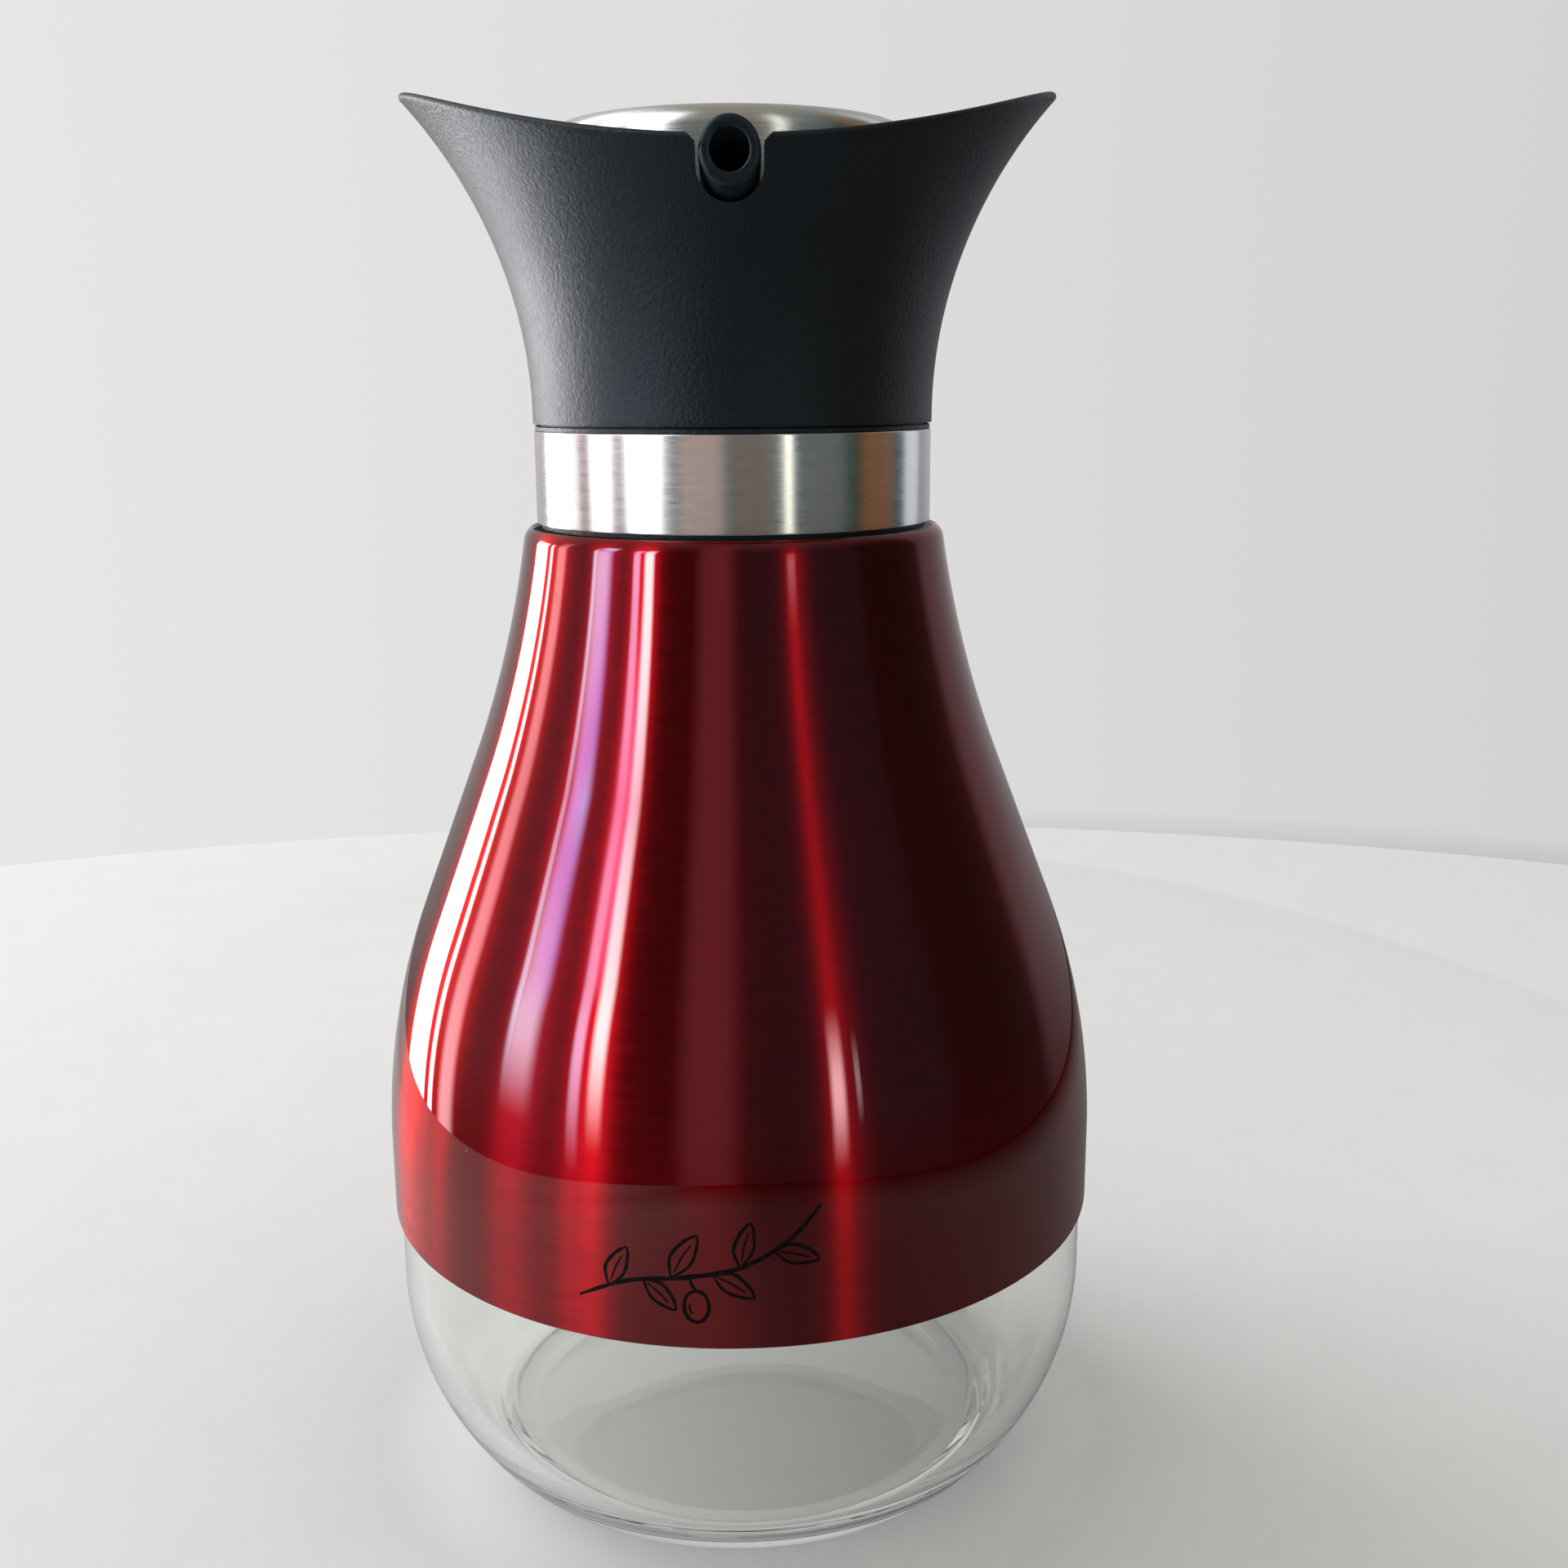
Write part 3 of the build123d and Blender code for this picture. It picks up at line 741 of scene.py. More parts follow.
def make_sleeve():
    lean = math.atan2(body_r(SHOULDER_Z - 0.5) - body_r(SHOULDER_Z), 0.5)
    start = (body_r(SHOULDER_Z), SHOULDER_Z)
    end = (SLEEVE_MOUTH_R, SLEEVE_TOP_Z)
    chord = math.atan2(end[1] - start[1], end[0] - start[0])
    turn = 2 * (chord - (math.pi / 2 + lean))
    radius = math.dist(start, end) / (2 * math.sin(turn / 2))
    centre = (start[0] - radius * math.cos(lean), start[1] - radius * math.sin(lean))
    first, last = math.degrees(lean), math.degrees(lean + turn)
    outer = joined(
        [(BODY_R - 0.12, SLEEVE_FOOT_Z), (BODY_R, SLEEVE_FOOT_Z + 0.14)],
        body_side(0, SLEEVE_FOOT_Z + 0.3, SHOULDER_Z),
        arc(*centre, radius, first, last, 12),
    )
    inner = joined(
        arc(*centre, radius - SLEEVE_WALL, last, first, 12),
        list(reversed(body_side(SLEEVE_WALL, SLEEVE_FOOT_Z, SHOULDER_Z))),
    )
    outline = outer + inner
    mesh = turned("sleeve", outline, shape=lambda r, z, a: r + ripple(z, a))
    sleeve = new_object("sleeve", mesh, "bottle")
    mesh.materials.append(red_lacquer())
    mesh.materials.append(brushed_steel("bare_steel_inside", (0.35, 0.45)))
    rows = len(outline)
    for polygon in mesh.polygons:
        row = polygon.index // SEGMENTS
        polygon.material_index = int(len(outer) <= row < rows - 1)
    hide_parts("steel_sleeve")
    return sleeve


# ------------------------------------------------------------------ printed sprig

SPRIG_AZIMUTH = math.radians(-96.0)
SPRIG_Z = 49.5
INK_LIFT = 0.035


def on_sleeve(u, v, lift):
    """Point on the sleeve: u mm round it from the sprig's centre, v mm above it."""
    angle = SPRIG_AZIMUTH + u / BODY_R
    z = SPRIG_Z + v
    r = sleeve_r(z, angle) + lift
    return (r * math.cos(angle), r * math.sin(angle), z)


def curve_points(points, steps=14):
    """A smooth curve through given points."""
    ends = [points[0], *points, points[-1]]
    result = []
    for a, b, c, d in zip(ends, ends[1:], ends[2:], ends[3:]):
        for i in range(steps):
            t = i / steps
            weights = (
                -t + 2 * t**2 - t**3,
                2 - 5 * t**2 + 3 * t**3,
                t + 4 * t**2 - 3 * t**3,
                t**3 - t**2,
            )
            near = list(zip(weights, (a, b, c, d)))
            result.append(tuple(sum(w * q[k] for w, q in near) / 2 for k in (0, 1)))
    result.append(points[-1])
    return result


def stroke(vertices, faces, points, width, taper=0.35):
    """Adds one pen stroke, a thin closed ribbon that swells in its middle."""
    path = curve_points(points)
    count = len(path)
    start = len(vertices)
    for i, (u, v) in enumerate(path):
        before = path[max(0, i - 1)]
        after = path[min(count - 1, i + 1)]
        du, dv = after[0] - before[0], after[1] - before[1]
        size = math.hypot(du, dv) or 1.0
        t = i / (count - 1)
        swell = taper + (1 - taper) * math.sin(math.pi * t) ** 0.6
        half = width / 2 * swell * (1 + 0.12 * math.sin(23 * t + u))
        nu, nv = -dv / size * half, du / size * half
        for side, lift in ((1, 0.004), (1, INK_LIFT), (-1, INK_LIFT), (-1, 0.004)):
            vertices.append(Vector(on_sleeve(u + side * nu, v + side * nv, lift)) * MM)
    for i in range(count - 1):
        a = start + 4 * i
        for k in range(4):
            j = (k + 1) % 4
            faces.append((a + k, a + j, a + 4 + j, a + 4 + k))
    faces.append((start, start + 1, start + 2, start + 3))
    last = start + 4 * (count - 1)
    faces.append((last + 3, last + 2, last + 1, last))


def leaf(base, heading, length, fatness):
    """Two outline strokes and a midrib of a small leaf, as lists of points."""
    c, s = math.cos(heading), math.sin(heading)

    def at(along, across):
        x, y = along * length, across * fatness
        return (base[0] + x * c - y * s, base[1] + x * s + y * c)

    upper = [at(0, 0), at(0.35, 1), at(0.75, 0.7), at(1, 0)]
    lower = [at(0, 0), at(0.4, -0.8), at(0.8, -0.5), at(1, 0)]
    rib = [at(0.12, 0), at(0.45, 0.12), at(0.78, 0)]
    return upper, lower, rib


def make_sprig():
    vertices = []
    faces = []
    stem = [(-15.5, -5.5), (-9.0, -2.6), (-2.0, -1.6), (5.0, -0.2), (11.0, 3.2), (15.0, 7.4)]
    stroke(vertices, faces, stem, 0.62, 0.5)
    leaves = [
        ((-11.5, -3.6), 1.15, 6.0, 1.35),
        ((-7.0, -2.2), -0.75, 5.6, 1.25),
        ((-3.5, -1.7), 1.05, 6.6, 1.45),
        ((1.5, -1.0), -0.55, 6.2, 1.35),
        ((5.0, -0.2), 1.35, 6.0, 1.3),
        ((9.0, 1.9), -0.25, 6.0, 1.3),
    ]
    for shape in leaves:
        for line, width in zip(leaf(*shape), (0.46, 0.40, 0.26)):
            stroke(vertices, faces, line, width)
    fruit = [
        (-0.4 + 1.53 * math.cos(a), -5.4 + 2.1 * math.sin(a))
        for a in [math.pi / 2 - math.pi * i / 5 for i in range(11)]
    ]
    stroke(vertices, faces, [(-1.2, -1.7), (-0.9, -2.6), (-0.4, -3.3)], 0.4, 0.7)
    stroke(vertices, faces, fruit, 0.48, 0.7)
    stroke(vertices, faces, [(-1.2, -5.0), (-1.25, -5.7), (-0.9, -6.4)], 0.3)
    mesh = bpy.data.meshes.new("printed_sprig")
    mesh.from_pydata(vertices, [], faces)
    finish_mesh(mesh)
    new_object("printed_sprig", mesh, "bottle")
    mesh.materials.append(black_ink())


# ------------------------------------------------------------------ head pieces


def make_gasket():
    low, high = GASKET_R
    foot_z = RIM_Z + SLIP
    top_z = COLLAR_ROOF_Z - SLIP
    middle_z = (foot_z + top_z) / 2
    loop = stepped(low, middle_z, foot_z, high, top_z, low, middle_z)
    outline = rounded(loop, [0.3] * 4)[:-1]
    gasket = new_object("gasket_ring", turned("gasket_ring", outline), "gasket")
    gasket.data.materials.append(silicone())
    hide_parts("neck_gasket")


def make_collar():
    thread_z = THREAD_FOOT_Z + THREAD_PITCH / 2
    ledge_z = COLLAR_TOP_Z - COLLAR_FLANGE_T
    wall = stepped(COLLAR_INNER_R, COLLAR_FOOT_Z + COLLAR_LIP, COLLAR_FOOT_Z, COLLAR_R, ledge_z)
    wall += stepped(COLLAR_FLANGE_R, ledge_z, COLLAR_TOP_Z, COLLAR_BORE_R, COLLAR_ROOF_Z)
    wall += stepped(COLLAR_INNER_R, COLLAR_ROOF_Z, COLLAR_ROOF_Z - COLLAR_LIP)
    outside = rounded(wall, [0.4, 0.2, 0.0, 0.08, 0.1, 0.2, 0.2, 0.3])
    thread_rows = subdivided(outside[-1], outside[0], THREAD_ROW)[1:-1]

    def shape(r, z, angle):
        if abs(r - COLLAR_INNER_R) > 1e-6:
            return r
        return r - COLLAR_THREAD_DEPTH * thread_height(z, angle, thread_z, COLLAR_THREAD_TURNS)

    mesh = turned("collar", outside + thread_rows, shape=shape)
    collar = new_object("collar", mesh, "head")
    mesh.materials.append(black_plastic())
    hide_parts("screw_collar")


def make_ring():
    wall = stepped(RING_INNER_R, RING_FOOT_Z + 3, RING_FOOT_Z, RING_R, RING_TOP_Z)
    wall += stepped(RING_INNER_R, RING_TOP_Z, RING_TOP_Z - 3)
    outline = rounded(wall, [0.06, 0.16, 0.16, 0.06])
    ring = new_object("steel_band", turned("steel_band", outline), "head")
    ring.data.materials.append(brushed_steel())
    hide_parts("neck_ring")
    return ring


def flare_r(z, inwards):
    """Radius of the flare's surface at height z."""
    radius = FLARE_ARC + inwards
    rise = max(0.0, z - FLARE_FOOT_Z)
    return HEAD_R + FLARE_ARC - math.sqrt(radius**2 - rise**2)


def rim_z(angle, inwards):
    """Height at which the flare's surface meets the dished rim, at an angle."""
    low, high = RIM_LOW_Z - 1, RIM_LOW_Z + 14
    for _ in range(40):
        z = (low + high) / 2
        x = flare_r(z, inwards) * math.cos(angle)
        if z < RIM_LOW_Z + RIM_ARC - math.sqrt(RIM_ARC**2 - x * x):
            low = z
        else:
            high = z
    return low


def flare_rows(start_z, end_z, inwards, count=64):
    """Points of the flare's surface between two heights."""
    heights = [start_z + (end_z - start_z) * i / count for i in range(count + 1)]
    return [(flare_r(z, inwards), z) for z in heights]


def head_outline(angle):
    """The head's outline at one angle: outside up to the rim, over it, and down inside."""
    outer_top = rim_z(angle, 0)
    inner_top = rim_z(angle, HEAD_WALL)
    base_z = COLLAR_TOP_Z + SHADOW_GAP
    outside = flare_rows(FLARE_FOOT_Z, outer_top - RIM_BAND, 0)
    inside = flare_rows(inner_top - RIM_BAND, TROUGH_FLOOR_Z + 2.0, HEAD_WALL)
    rim = rounded(
        [
            outside[-1],
            (flare_r(outer_top, 0), outer_top),
            (flare_r(inner_top, HEAD_WALL), inner_top),
            inside[0],
        ],
        [RIM_ROUND, RIM_ROUND * 1.3],
        6,
    )
    base = rounded(
        [(SHADOW_GAP_R, COLLAR_TOP_Z), (SHADOW_GAP_R, base_z), (HEAD_R, base_z), outside[0]],
        [0.0, 0.15],
        4,
    )
    floor = rounded(
        [
            inside[-1],
            (flare_r(TROUGH_FLOOR_Z, HEAD_WALL), TROUGH_FLOOR_Z),
            *stepped(SOCKET_OUTER_R, TROUGH_FLOOR_Z, SOCKET_TOP_Z, SOCKET_R, SOCKET_FOOT_Z),
            *stepped(SOCKET_OUTER_R, SOCKET_FOOT_Z, COLLAR_TOP_Z),
            *stepped(SPIGOT_INNER_R, COLLAR_TOP_Z, SPIGOT_FOOT_Z),
            *stepped(SPIGOT_R, SPIGOT_FOOT_Z, COLLAR_TOP_Z, SHADOW_GAP_R),
        ],
        [1.9, 1.0, 0.3, 0.5, 0.3, 0.3, 0.3, 0.2, 0.2, 0.2, 0.0],
        4,
    )
    return joined(base, outside, rim, inside, floor[:-1])


def make_head():
    turns = circle(SEGMENTS)
    outlines = [head_outline(a) for a, _, _ in turns]
    rings = [
        [(r * c, r * s, z) for (_, c, s), (r, z) in zip(turns, row)] for row in zip(*outlines)
    ]
    mesh = skin("flared_top", rings, True)
    head = new_object("flared_top", mesh, "head")
    half = NOTCH_WIDTH / 2
    wide = half + NOTCH_CORNER
    corner_z = RIM_LOW_Z - NOTCH_CORNER * 0.9
    sides = rounded(
        [
            (half, NOTCH_LOW_Z + half),
            (half, corner_z),
            (wide, RIM_LOW_Z + 0.1),
            (wide, RIM_LOW_Z + 8),
            (-wide, RIM_LOW_Z + 8),
            (-wide, RIM_LOW_Z + 0.1),
            (-half, corner_z),
            (-half, NOTCH_LOW_Z + half),
        ],
        [0.5, 0.3, 0, 0, 0.3, 0.5],
        5,
    )
    notch = joined(arc(0, NOTCH_LOW_Z + half, half, 180, 360, 28), sides[:-1])
    cut(head, prism(notch, -48, -26))
    cut(head, rod(TUBE_R + SPOUT_CLEARANCE, -6, 10))
    above, below = TROUGH_FLOOR_Z + 4, COLLAR_TOP_Z - 3.3
    drill = [(0, above), (DRAIN_HOLE_R, above), (DRAIN_HOLE_R, below), (0, below)]
    for k in range(DRAIN_COUNT):
        a = math.radians(90 + 360 * k / DRAIN_COUNT)
        centre = (DRAIN_CIRCLE_R * math.cos(a), DRAIN_CIRCLE_R * math.sin(a))
        cut(head, turned("drain", drill, closed=False, segments=32, centre=centre))
    head.data.materials.append(black_plastic())
    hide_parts("flared_head")


# ------------------------------------------------------------------ pourer pieces


def make_spout():
    right, up, along = tube_frame()
    mouth = Vector((0, MOUTH_Y, MOUTH_Z))
    back = (TUBE_INNER_Y - MOUTH_Y) / math.cos(TUBE_TILT)
    rows = [
        (TUBE_R, back, False),
        (TUBE_R, back / 2, False),
        (TUBE_R, MOUTH_CHAMFER * 1.4, True),
        (TUBE_R - 0.06, MOUTH_CHAMFER * 0.6, True),
        (TUBE_R - MOUTH_CHAMFER * 0.8, 0.08, True),
        (TUBE_R - MOUTH_CHAMFER * 1.2, 0.0, True),
        (TUBE_BORE_R + 0.22, 0.0, True),
        (TUBE_BORE_R + 0.06, 0.1, True),
        (TUBE_BORE_R, MOUTH_CHAMFER, True),
        (TUBE_BORE_R, back / 2, False),
        (TUBE_BORE_R, back - METER_LENGTH, False),
        (METER_R, back - METER_LENGTH, False),
        (METER_R, back, False),
    ]
    rings = []
    for radius, depth, at_mouth in rows:
        ring = []
        for _, c, s in circle(96):
            offset = (right * c + up * s) * radius
            distance = (depth - offset.y) / along.y if at_mouth else depth
            ring.append(mouth + offset + along * distance)
        rings.append(ring)
    mesh = skin("spout", rings, True)
    spout = new_object("spout", mesh, "pourer")
    mesh.materials.append(spout_plastic())
    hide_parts("spout_tube")


def make_cap():
    low_z = CAP_EDGE_Z - CAP_EDGE_ROUND
    edge_r = CAP_R - CAP_EDGE_ROUND
    steps = [edge_r * (1 - i / 20) for i in range(1, 20)]
    dome = [(r, dome_z(r, edge_r, CAP_TOP_Z - CAP_EDGE_Z, CAP_TOP_Z)) for r in steps]
    outside = joined(
        subdivided((CAP_R, CAP_FOOT_Z + CAP_FOOT_CHAMFER), (CAP_R, low_z), 2.0),
        arc(edge_r, low_z, CAP_EDGE_ROUND, 0, 90, 16),
        dome,
        [(0.0, CAP_TOP_Z)],
    )
    inside = joined(
        [(0.0, CAP_TOP_Z - CAP_WALL)],
        [(r, z - CAP_WALL) for r, z in reversed(dome)],
        arc(edge_r, low_z, CAP_EDGE_ROUND - CAP_WALL, 90, 0, 8),
        [(CAP_R - CAP_WALL, CAP_FOOT_Z), (CAP_R - CAP_FOOT_CHAMFER, CAP_FOOT_Z)],
    )
    mesh = turned("cap", inside + outside, closed=False)
    cap = new_object("cap", mesh, "pourer")
    hole_start = (-CAP_R - MOUTH_Y) / math.cos(TUBE_TILT)
    cut(cap, rod(TUBE_R + CAP_HOLE_GAP, hole_start - 4, hole_start + 5))
    cap.data.materials.append(cap_steel())
    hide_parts("steel_cap")


def make_seal():
    top_z = PLATE_Z - SLIP
    seat_z = SOCKET_TOP_Z + SLIP
    inner_r = PLUG_R + SLIP
    points = [(inner_r, SEAL_FOOT_Z), (SEAL_R, SEAL_FOOT_Z)]
    rib_rise = SOCKET_R - SLIP - SEAL_R
    for rib in range(1, SEAL_RIBS + 1):
        z = SEAL_FOOT_Z + rib * SEAL_RIB_PITCH
        for i in range(13):
            t = math.pi * i / 12
            points.append((SEAL_R + rib_rise * math.sin(t), z - SEAL_RIB_HALF * math.cos(t)))
    flange = stepped(SEAL_R, seat_z - 0.5, seat_z, SOCKET_OUTER_R, top_z, inner_r)
    points += rounded(flange, [0.2, 0.3, 0.3], 4)
    mesh = turned("seal", joined(points), segments=160)
    seal = new_object("seal", mesh, "pourer")
    mesh.materials.append(silicone())
    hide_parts("stopper_seal")


def make_vent():
    wall = stepped(VENT_BORE_R, VENT_TOP_Z - 3, VENT_TOP_Z, VENT_R, VENT_FOOT_Z)
    wall += stepped(VENT_BORE_R, VENT_FOOT_Z, VENT_FOOT_Z + 3)
    mesh = turned("vent", rounded(wall, [0.15] * 4), segments=64, centre=(0, VENT_Y))
    vent = new_object("vent", mesh, "pourer")
    mesh.materials.append(vent_plastic())
    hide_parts("vent_tube")


def dress_frame_parts():
    """The CAD nodes that stay get finished materials."""
    for node, material in (("pourer_body", black_plastic()), ("sleeve_tape", black_tape())):
        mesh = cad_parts[node].data
        mesh.materials.clear()
        mesh.materials.append(material)


# ------------------------------------------------------------------ stage

TABLE_R = 620.0
TABLE_BACK_Y = 364.0
TABLE_X = -13.0
TABLE_EDGE_ROUND = 3.0
TABLE_DEPTH = 25.0


def make_table():
    """A pale round table top; its far edge is the line behind the bottle."""
    outline = [
        (0, 0),
        (TABLE_R / 2, 0),
        *arc(TABLE_R - TABLE_EDGE_ROUND, -TABLE_EDGE_ROUND, TABLE_EDGE_ROUND, 90, 0, 6),
        (TABLE_R, -TABLE_DEPTH),
        (0, -TABLE_DEPTH),
    ]
    mesh = turned("table", outline, closed=False, centre=(TABLE_X, TABLE_BACK_Y - TABLE_R))
    table = new_object("table", mesh, None)
    n = Nodes("pale_table", Specular_IOR_Level=0.2, Emission_Color=(0.99, 1.0, 0.97, 1.0))
    grain = n.span(n.noise(n.position(), 60.0, 4.0), 0.3, 0.7)
    fleck = n.noise(n.position(), 1500.0, 2.0)
    n.bump(fleck, 0.00003, 0.2)
    # The glow is the light that the glass gathers on the table inside its foot.
    x, y, _ = n.split(n.position())
    foot = FOOT_INNER_R * MM
    inside = n.span(n.length(n.combine(x, y)), foot, foot * 1.7, 1.0, 0.0)
    material = n.finish(
        Base_Color=n.blend(grain, (0.80, 0.805, 0.815), (0.82, 0.825, 0.83)),
        Roughness=n.span(fleck, 0.3, 0.7, 0.5, 0.6),
        Emission_Strength=n.math("MULTIPLY", inside, n.span(x, -foot, foot, 0.36, 0.17)),
    )
    mesh.materials.append(material)
    table.visible_glossy = False


def make_reflected_table():
    """The lit part of the table as the steel sees it: bright at the left, dim in front."""
    outline = [(0, 0), (1000, 0), (1000, -1), (0, -1)]
    mesh = turned("reflected", outline, closed=False)
    table = new_object("table_in_reflections", mesh, None)
    table.scale = (0.24, 0.34, 1.0)
    n = Nodes(
        "table_in_reflections",
        Base_Color=(0.0, 0.0, 0.0, 1.0),
        Specular_IOR_Level=0.0,
        Emission_Strength=1.0,
    )
    x = n.split(n.position())[0]
    lit = n.math("ADD", n.span(x, -0.55, 0.1, 0.62, 0.14), n.span(x, 0.3, 0.8, 0.0, 0.14))
    # The far edge is crisp at the left and fades away towards the front.
    fade = n.span(n.length(n.position()), 0.72, 1.0, 1.0, 0.0)
    crisp = n.span(x, -0.75, -0.2, 1.0, 0.0)
    level = n.math("MULTIPLY", lit, n.math("MAXIMUM", fade, crisp))
    glow = n.add("CombineColor")
    for socket in glow.inputs:
        n.link(level, socket)
    mesh.materials.append(n.finish(Emission_Color=glow.outputs[0]))
    table.visible_camera = False
    table.visible_diffuse = False
    table.visible_transmission = False
    table.visible_shadow = False


def soften(data, soft):
    """Fades a light's radiance out towards its edges, over parts of its width and height."""
    data.use_nodes = True
    n = Tree(data.node_tree)
    sides = n.split(n.add("NewGeometry").outputs["Parametric"])
    fades = []
    for side, part in zip(sides, soft):
        away = n.math("ABSOLUTE", n.math("SUBTRACT", side, 0.5))
        fades.append(n.span(away, 0.5, 0.5 - part, kind="SMOOTHSTEP"))
    n.link(n.math("MULTIPLY", *fades), n.tree.nodes["Emission"].inputs["Strength"])


LIGHT_DISTANCE = 1.4
LIGHT_TARGET = Vector((0, 0, 0.1))


def softbox(
    name, azimuth, elevation, width, height, radiance, sheen=True, lit=None, soft=(0.2, 0.3)
):
    """A light that faces the bottle: width and height in degrees, azimuth 0 in front.

    With sheen it is seen only in glossy surfaces, and without it only lights matt ones.
    lit is a collection that says which pieces it lights.
    """
    data = bpy.data.lights.new(name, "AREA")
    data.shape = "RECTANGLE"
    if sheen:
        width /= 1 - soft[0]
        height /= 1 - soft[1]
        soften(data, soft)
    data.size = 2 * LIGHT_DISTANCE * math.tan(math.radians(width / 2))
    data.size_y = 2 * LIGHT_DISTANCE * math.tan(math.radians(height / 2))
    strength = max(radiance)
    data.energy = strength * math.pi * data.size * data.size_y
    data.color = [channel / strength for channel in radiance]
    light = bpy.data.objects.new(name, data)
    bpy.context.scene.collection.objects.link(light)
    a, e = math.radians(azimuth), math.radians(elevation)
    away = Vector((math.sin(a) * math.cos(e), -math.cos(a) * math.cos(e), math.sin(e)))
    light.location = LIGHT_TARGET + away * LIGHT_DISTANCE
    light.rotation_euler = away.to_track_quat("Z", "Y").to_euler()
    light.visible_camera = False
    light.visible_transmission = False
    light.visible_diffuse = not sheen
    light.visible_glossy = sheen
    if lit is not None:
        light.light_linking.receiver_collection = lit


def light_group(name, piece, state):
    """A collection that lights only this piece (INCLUDE), or all but it (EXCLUDE)."""
    group = bpy.data.collections.new(name)
    group.objects.link(piece)
    group.collection_objects[0].light_linking.link_state = state
    return group


def make_lights(sleeve, ring):
    softbox("pane_back_left", -125, -10, 14, 46, (15.0, 14.6, 14.4), soft=(0.06, 0.1))
    softbox("pane_back_left_thin", -113.5, -10, 2.6, 46, (12.0, 11.5, 11.7), soft=(0.3, 0.1))
    softbox("daylight", -118, 32, 52, 42, (2.60, 2.62, 2.70), sheen=False)
    softbox("ceiling", 180, 84, 60, 60, (0.36, 0.355, 0.34), sheen=False)
    # The coloured film on the lacquer tints what it mirrors, so the sleeve has its own panes.
    lacquer = light_group("lit_lacquer", sleeve, "INCLUDE")
    for name, *place, colour in (
        ("film_back_left_dim", -104, -8, 7.0, 42, (5.6, 4.2, 4.6)),
        ("film_left_edge", -78, 12, 2, 22, (5.5, 6.5, 9.5)),
        ("film_left_top", -71, 25, 8, 9, (5.0, 11.0, 15.0)),
        ("film_left_high", -71, 17, 8, 12, (2.2, 3.2, 10.5)),
        ("film_left_low", -73, 5, 10, 15, (6.0, 9.5, 12.5)),
        ("film_front_left_pink", -52, 7, 3.5, 22, (9.0, 9.0, 14.0)),
        ("film_front_left_white", -45, 11, 4.5, 22, (16.0, 22.0, 22.0)),
        ("film_front", -10, 10, 16, 60, (0.34, 0.20, 0.22)),
        ("film_front_left_high", -49, 21.5, 9, 9, (7.5, 2.6, 5.5)),
        ("film_right", 29.5, 2, 4.0, 15, (12.0, 9.0, 9.4)),
        ("film_right_small", 36, 3, 1.6, 9, (4.0, 3.4, 3.6)),
    ):
        softbox(name, *place, colour, lit=lacquer, soft=(0.35, 0.5))
    plain = light_group("lit_rest", sleeve, "EXCLUDE")
    for name, *place, colour in (
        ("window_back_left", -122, 20, 16, 70, (2.0, 2.0, 2.0)),
        ("window_back_left_dim", -103, 15, 9, 70, (1.0, 1.0, 0.95)),
        ("window_left", -81, 20, 16, 70, (2.5, 2.55, 2.6)),
        ("window_front_left", -52, 20, 22, 70, (2.9, 3.1, 3.2)),
        ("doorway_front", -16, 20, 30, 60, (0.08, 0.09, 0.07)),
        ("warm_front", 12, 15, 22, 60, (0.15, 0.055, 0.01)),
        ("slit_right", 31, 15, 3.6, 60, (3.4, 3.25, 2.8)),
        ("grey_right", 52, 10, 28, 60, (0.10, 0.05, 0.02)),
        ("wall_right", 124, 15, 18, 70, (0.45, 0.47, 0.52)),
        ("brown_door", 91, 10, 26, 60, (0.17, 0.04, 0.0)),
    ):
        softbox(name, *place, colour, lit=plain)
    band = light_group("lit_band", ring, "INCLUDE")
    softbox("doorway_on_ring", -18, 10, 24, 60, (0.34, 0.20, 0.17), lit=band)


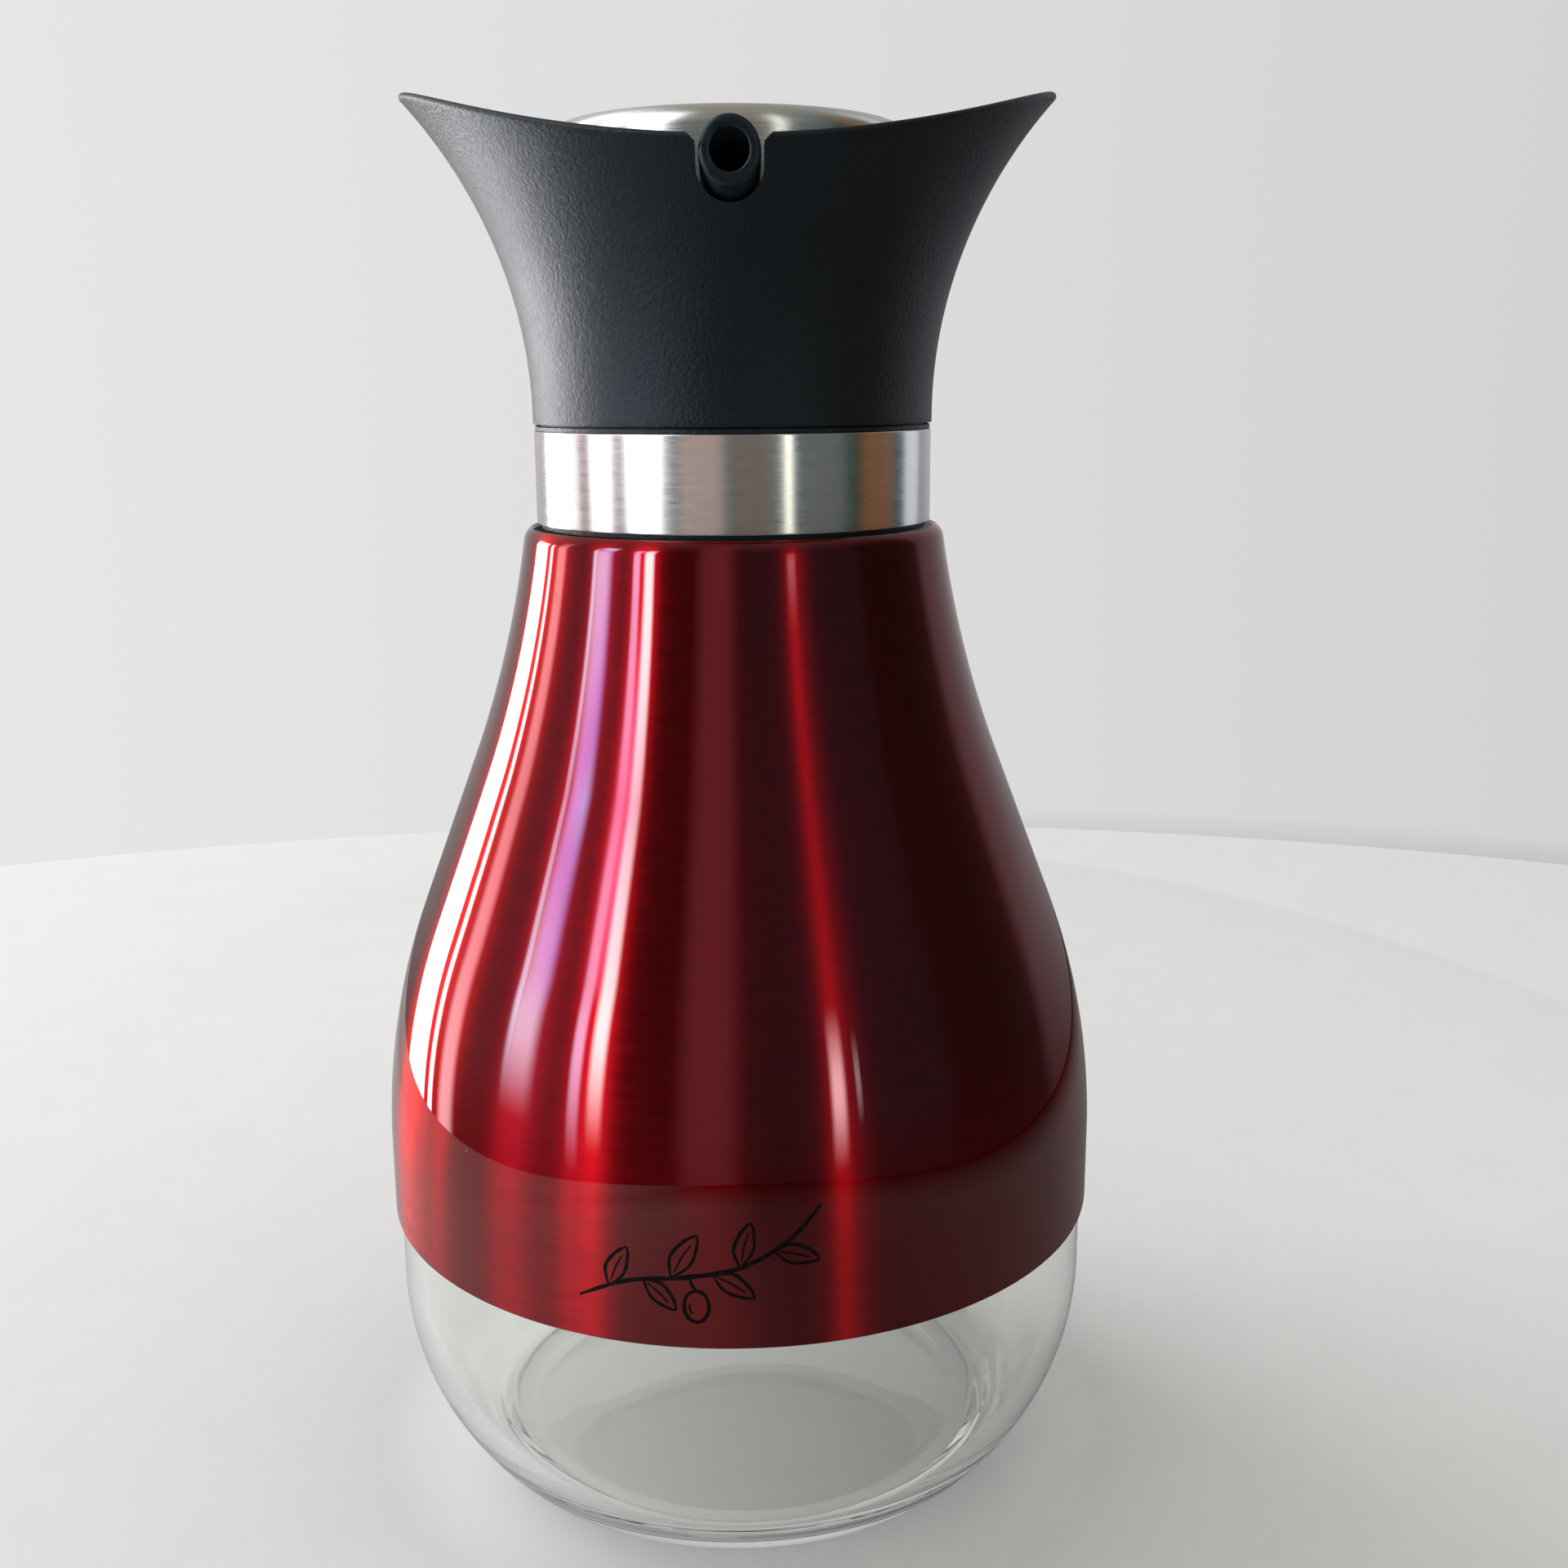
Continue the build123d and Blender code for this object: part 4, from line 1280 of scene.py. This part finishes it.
def make_world():
    """Pale backdrop; reflections see a room that is light behind and dim in front."""
    world = bpy.data.worlds.new("room")
    bpy.context.scene.world = world
    world.use_nodes = True
    n = Tree(world.node_tree)
    n.tree.nodes.clear()
    x, y, z = n.split(n.add("TexCoord").outputs["Generated"])
    azimuth = n.math("ARCTAN2", x, n.math("MULTIPLY", y, -1.0))
    ramp = n.add("ValToRGB")
    n.link(n.span(azimuth, -math.pi, math.pi), ramp.inputs[0])
    # What the room looks like at each azimuth, counted from the front and to the right.
    room = [
        (-180, (0.55, 0.53, 0.53)),
        (-140, (0.55, 0.53, 0.53)),
        (-97, (0.40, 0.24, 0.30)),
        (-60, (0.32, 0.20, 0.24)),
        (-38, (0.06, 0.05, 0.06)),
        (-22, (0.03, 0.04, 0.05)),
        (-18, (0.08, 0.09, 0.11)),
        (-2, (0.08, 0.09, 0.11)),
        (5, (0.03, 0.10, 0.12)),
        (24, (0.03, 0.11, 0.14)),
        (40, (0.025, 0.11, 0.15)),
        (66, (0.025, 0.10, 0.13)),
        (73, (0.02, 0.05, 0.03)),
        (92, (0.02, 0.05, 0.03)),
        (112, (0.03, 0.07, 0.07)),
        (119, (0.26, 0.29, 0.32)),
        (180, (0.55, 0.53, 0.53)),
    ]
    elements = ramp.color_ramp.elements
    for index, (degrees, colour) in enumerate(room):
        place = (degrees + 180) / 360
        element = elements[index] if index < 2 else elements.new(place)
        element.position = place
        element.color = (*colour, 1)
    upper = n.blend(n.span(z, 0.5, 0.95), ramp.outputs[0], (0.30, 0.29, 0.27))
    lower = n.blend(n.span(z, -0.05, -0.35), upper, (0.03, 0.03, 0.03))
    rays = n.add("LightPath").outputs
    colour = n.blend(rays["Is Diffuse Ray"], lower, (0.60, 0.59, 0.56))
    # Painted shade on the wall: it darkens to the right, and just above the table there.
    wall = n.blend(n.span(x, -0.4, 0.42), (0.81, 0.80, 0.80), (0.655, 0.65, 0.655))
    shade = n.math("MULTIPLY", n.span(z, -0.235, -0.262), n.span(x, -0.2, 0.42))
    wall = n.blend(shade, wall, (0.45, 0.44, 0.43))
    seen = n.math("MAXIMUM", rays["Is Camera Ray"], rays["Is Transmission Ray"])
    background = n.add("Background")
    n.link(n.blend(seen, colour, wall), background.inputs[0])
    n.link(background.outputs[0], n.add("OutputWorld").inputs[0])


CAMERA_PLACE = (0.0, -0.2430, 0.15364)
CAMERA_YAW = math.radians(1.58)
CAMERA_PITCH = math.radians(12.97)
CAMERA_ROLL = math.radians(0.34)
CAMERA_LENS = 39.9


def make_camera():
    data = bpy.data.cameras.new("camera")
    data.sensor_width = 36.0
    data.lens = CAMERA_LENS
    data.clip_start = 0.01
    camera = bpy.data.objects.new("camera", data)
    bpy.context.scene.collection.objects.link(camera)
    flat = math.cos(CAMERA_PITCH)
    ahead = math.sin(CAMERA_YAW) * flat, math.cos(CAMERA_YAW) * flat
    forward = Vector((*ahead, -math.sin(CAMERA_PITCH)))
    level = forward.cross(Vector((0, 0, 1))).normalized()
    upright = level.cross(forward)
    right = level * math.cos(CAMERA_ROLL) - upright * math.sin(CAMERA_ROLL)
    up = upright * math.cos(CAMERA_ROLL) + level * math.sin(CAMERA_ROLL)
    turn = Matrix((right, up, -forward)).transposed().to_4x4()
    camera.matrix_world = Matrix.Translation(CAMERA_PLACE) @ turn
    bpy.context.scene.camera = camera


# ------------------------------------------------------------------ build

make_bottle()
sleeve = make_sleeve()
make_sprig()
make_gasket()
make_collar()
ring = make_ring()
make_head()
make_spout()
make_cap()
make_seal()
make_vent()
dress_frame_parts()
make_table()
make_reflected_table()
make_lights(sleeve, ring)
make_world()
make_camera()
scene = bpy.context.scene
scene.view_settings.view_transform = "Standard"
# Thick glass needs many bounces, or its heel turns black.
scene.cycles.max_bounces = 20
scene.cycles.glossy_bounces = 10
scene.cycles.transmission_bounces = 16
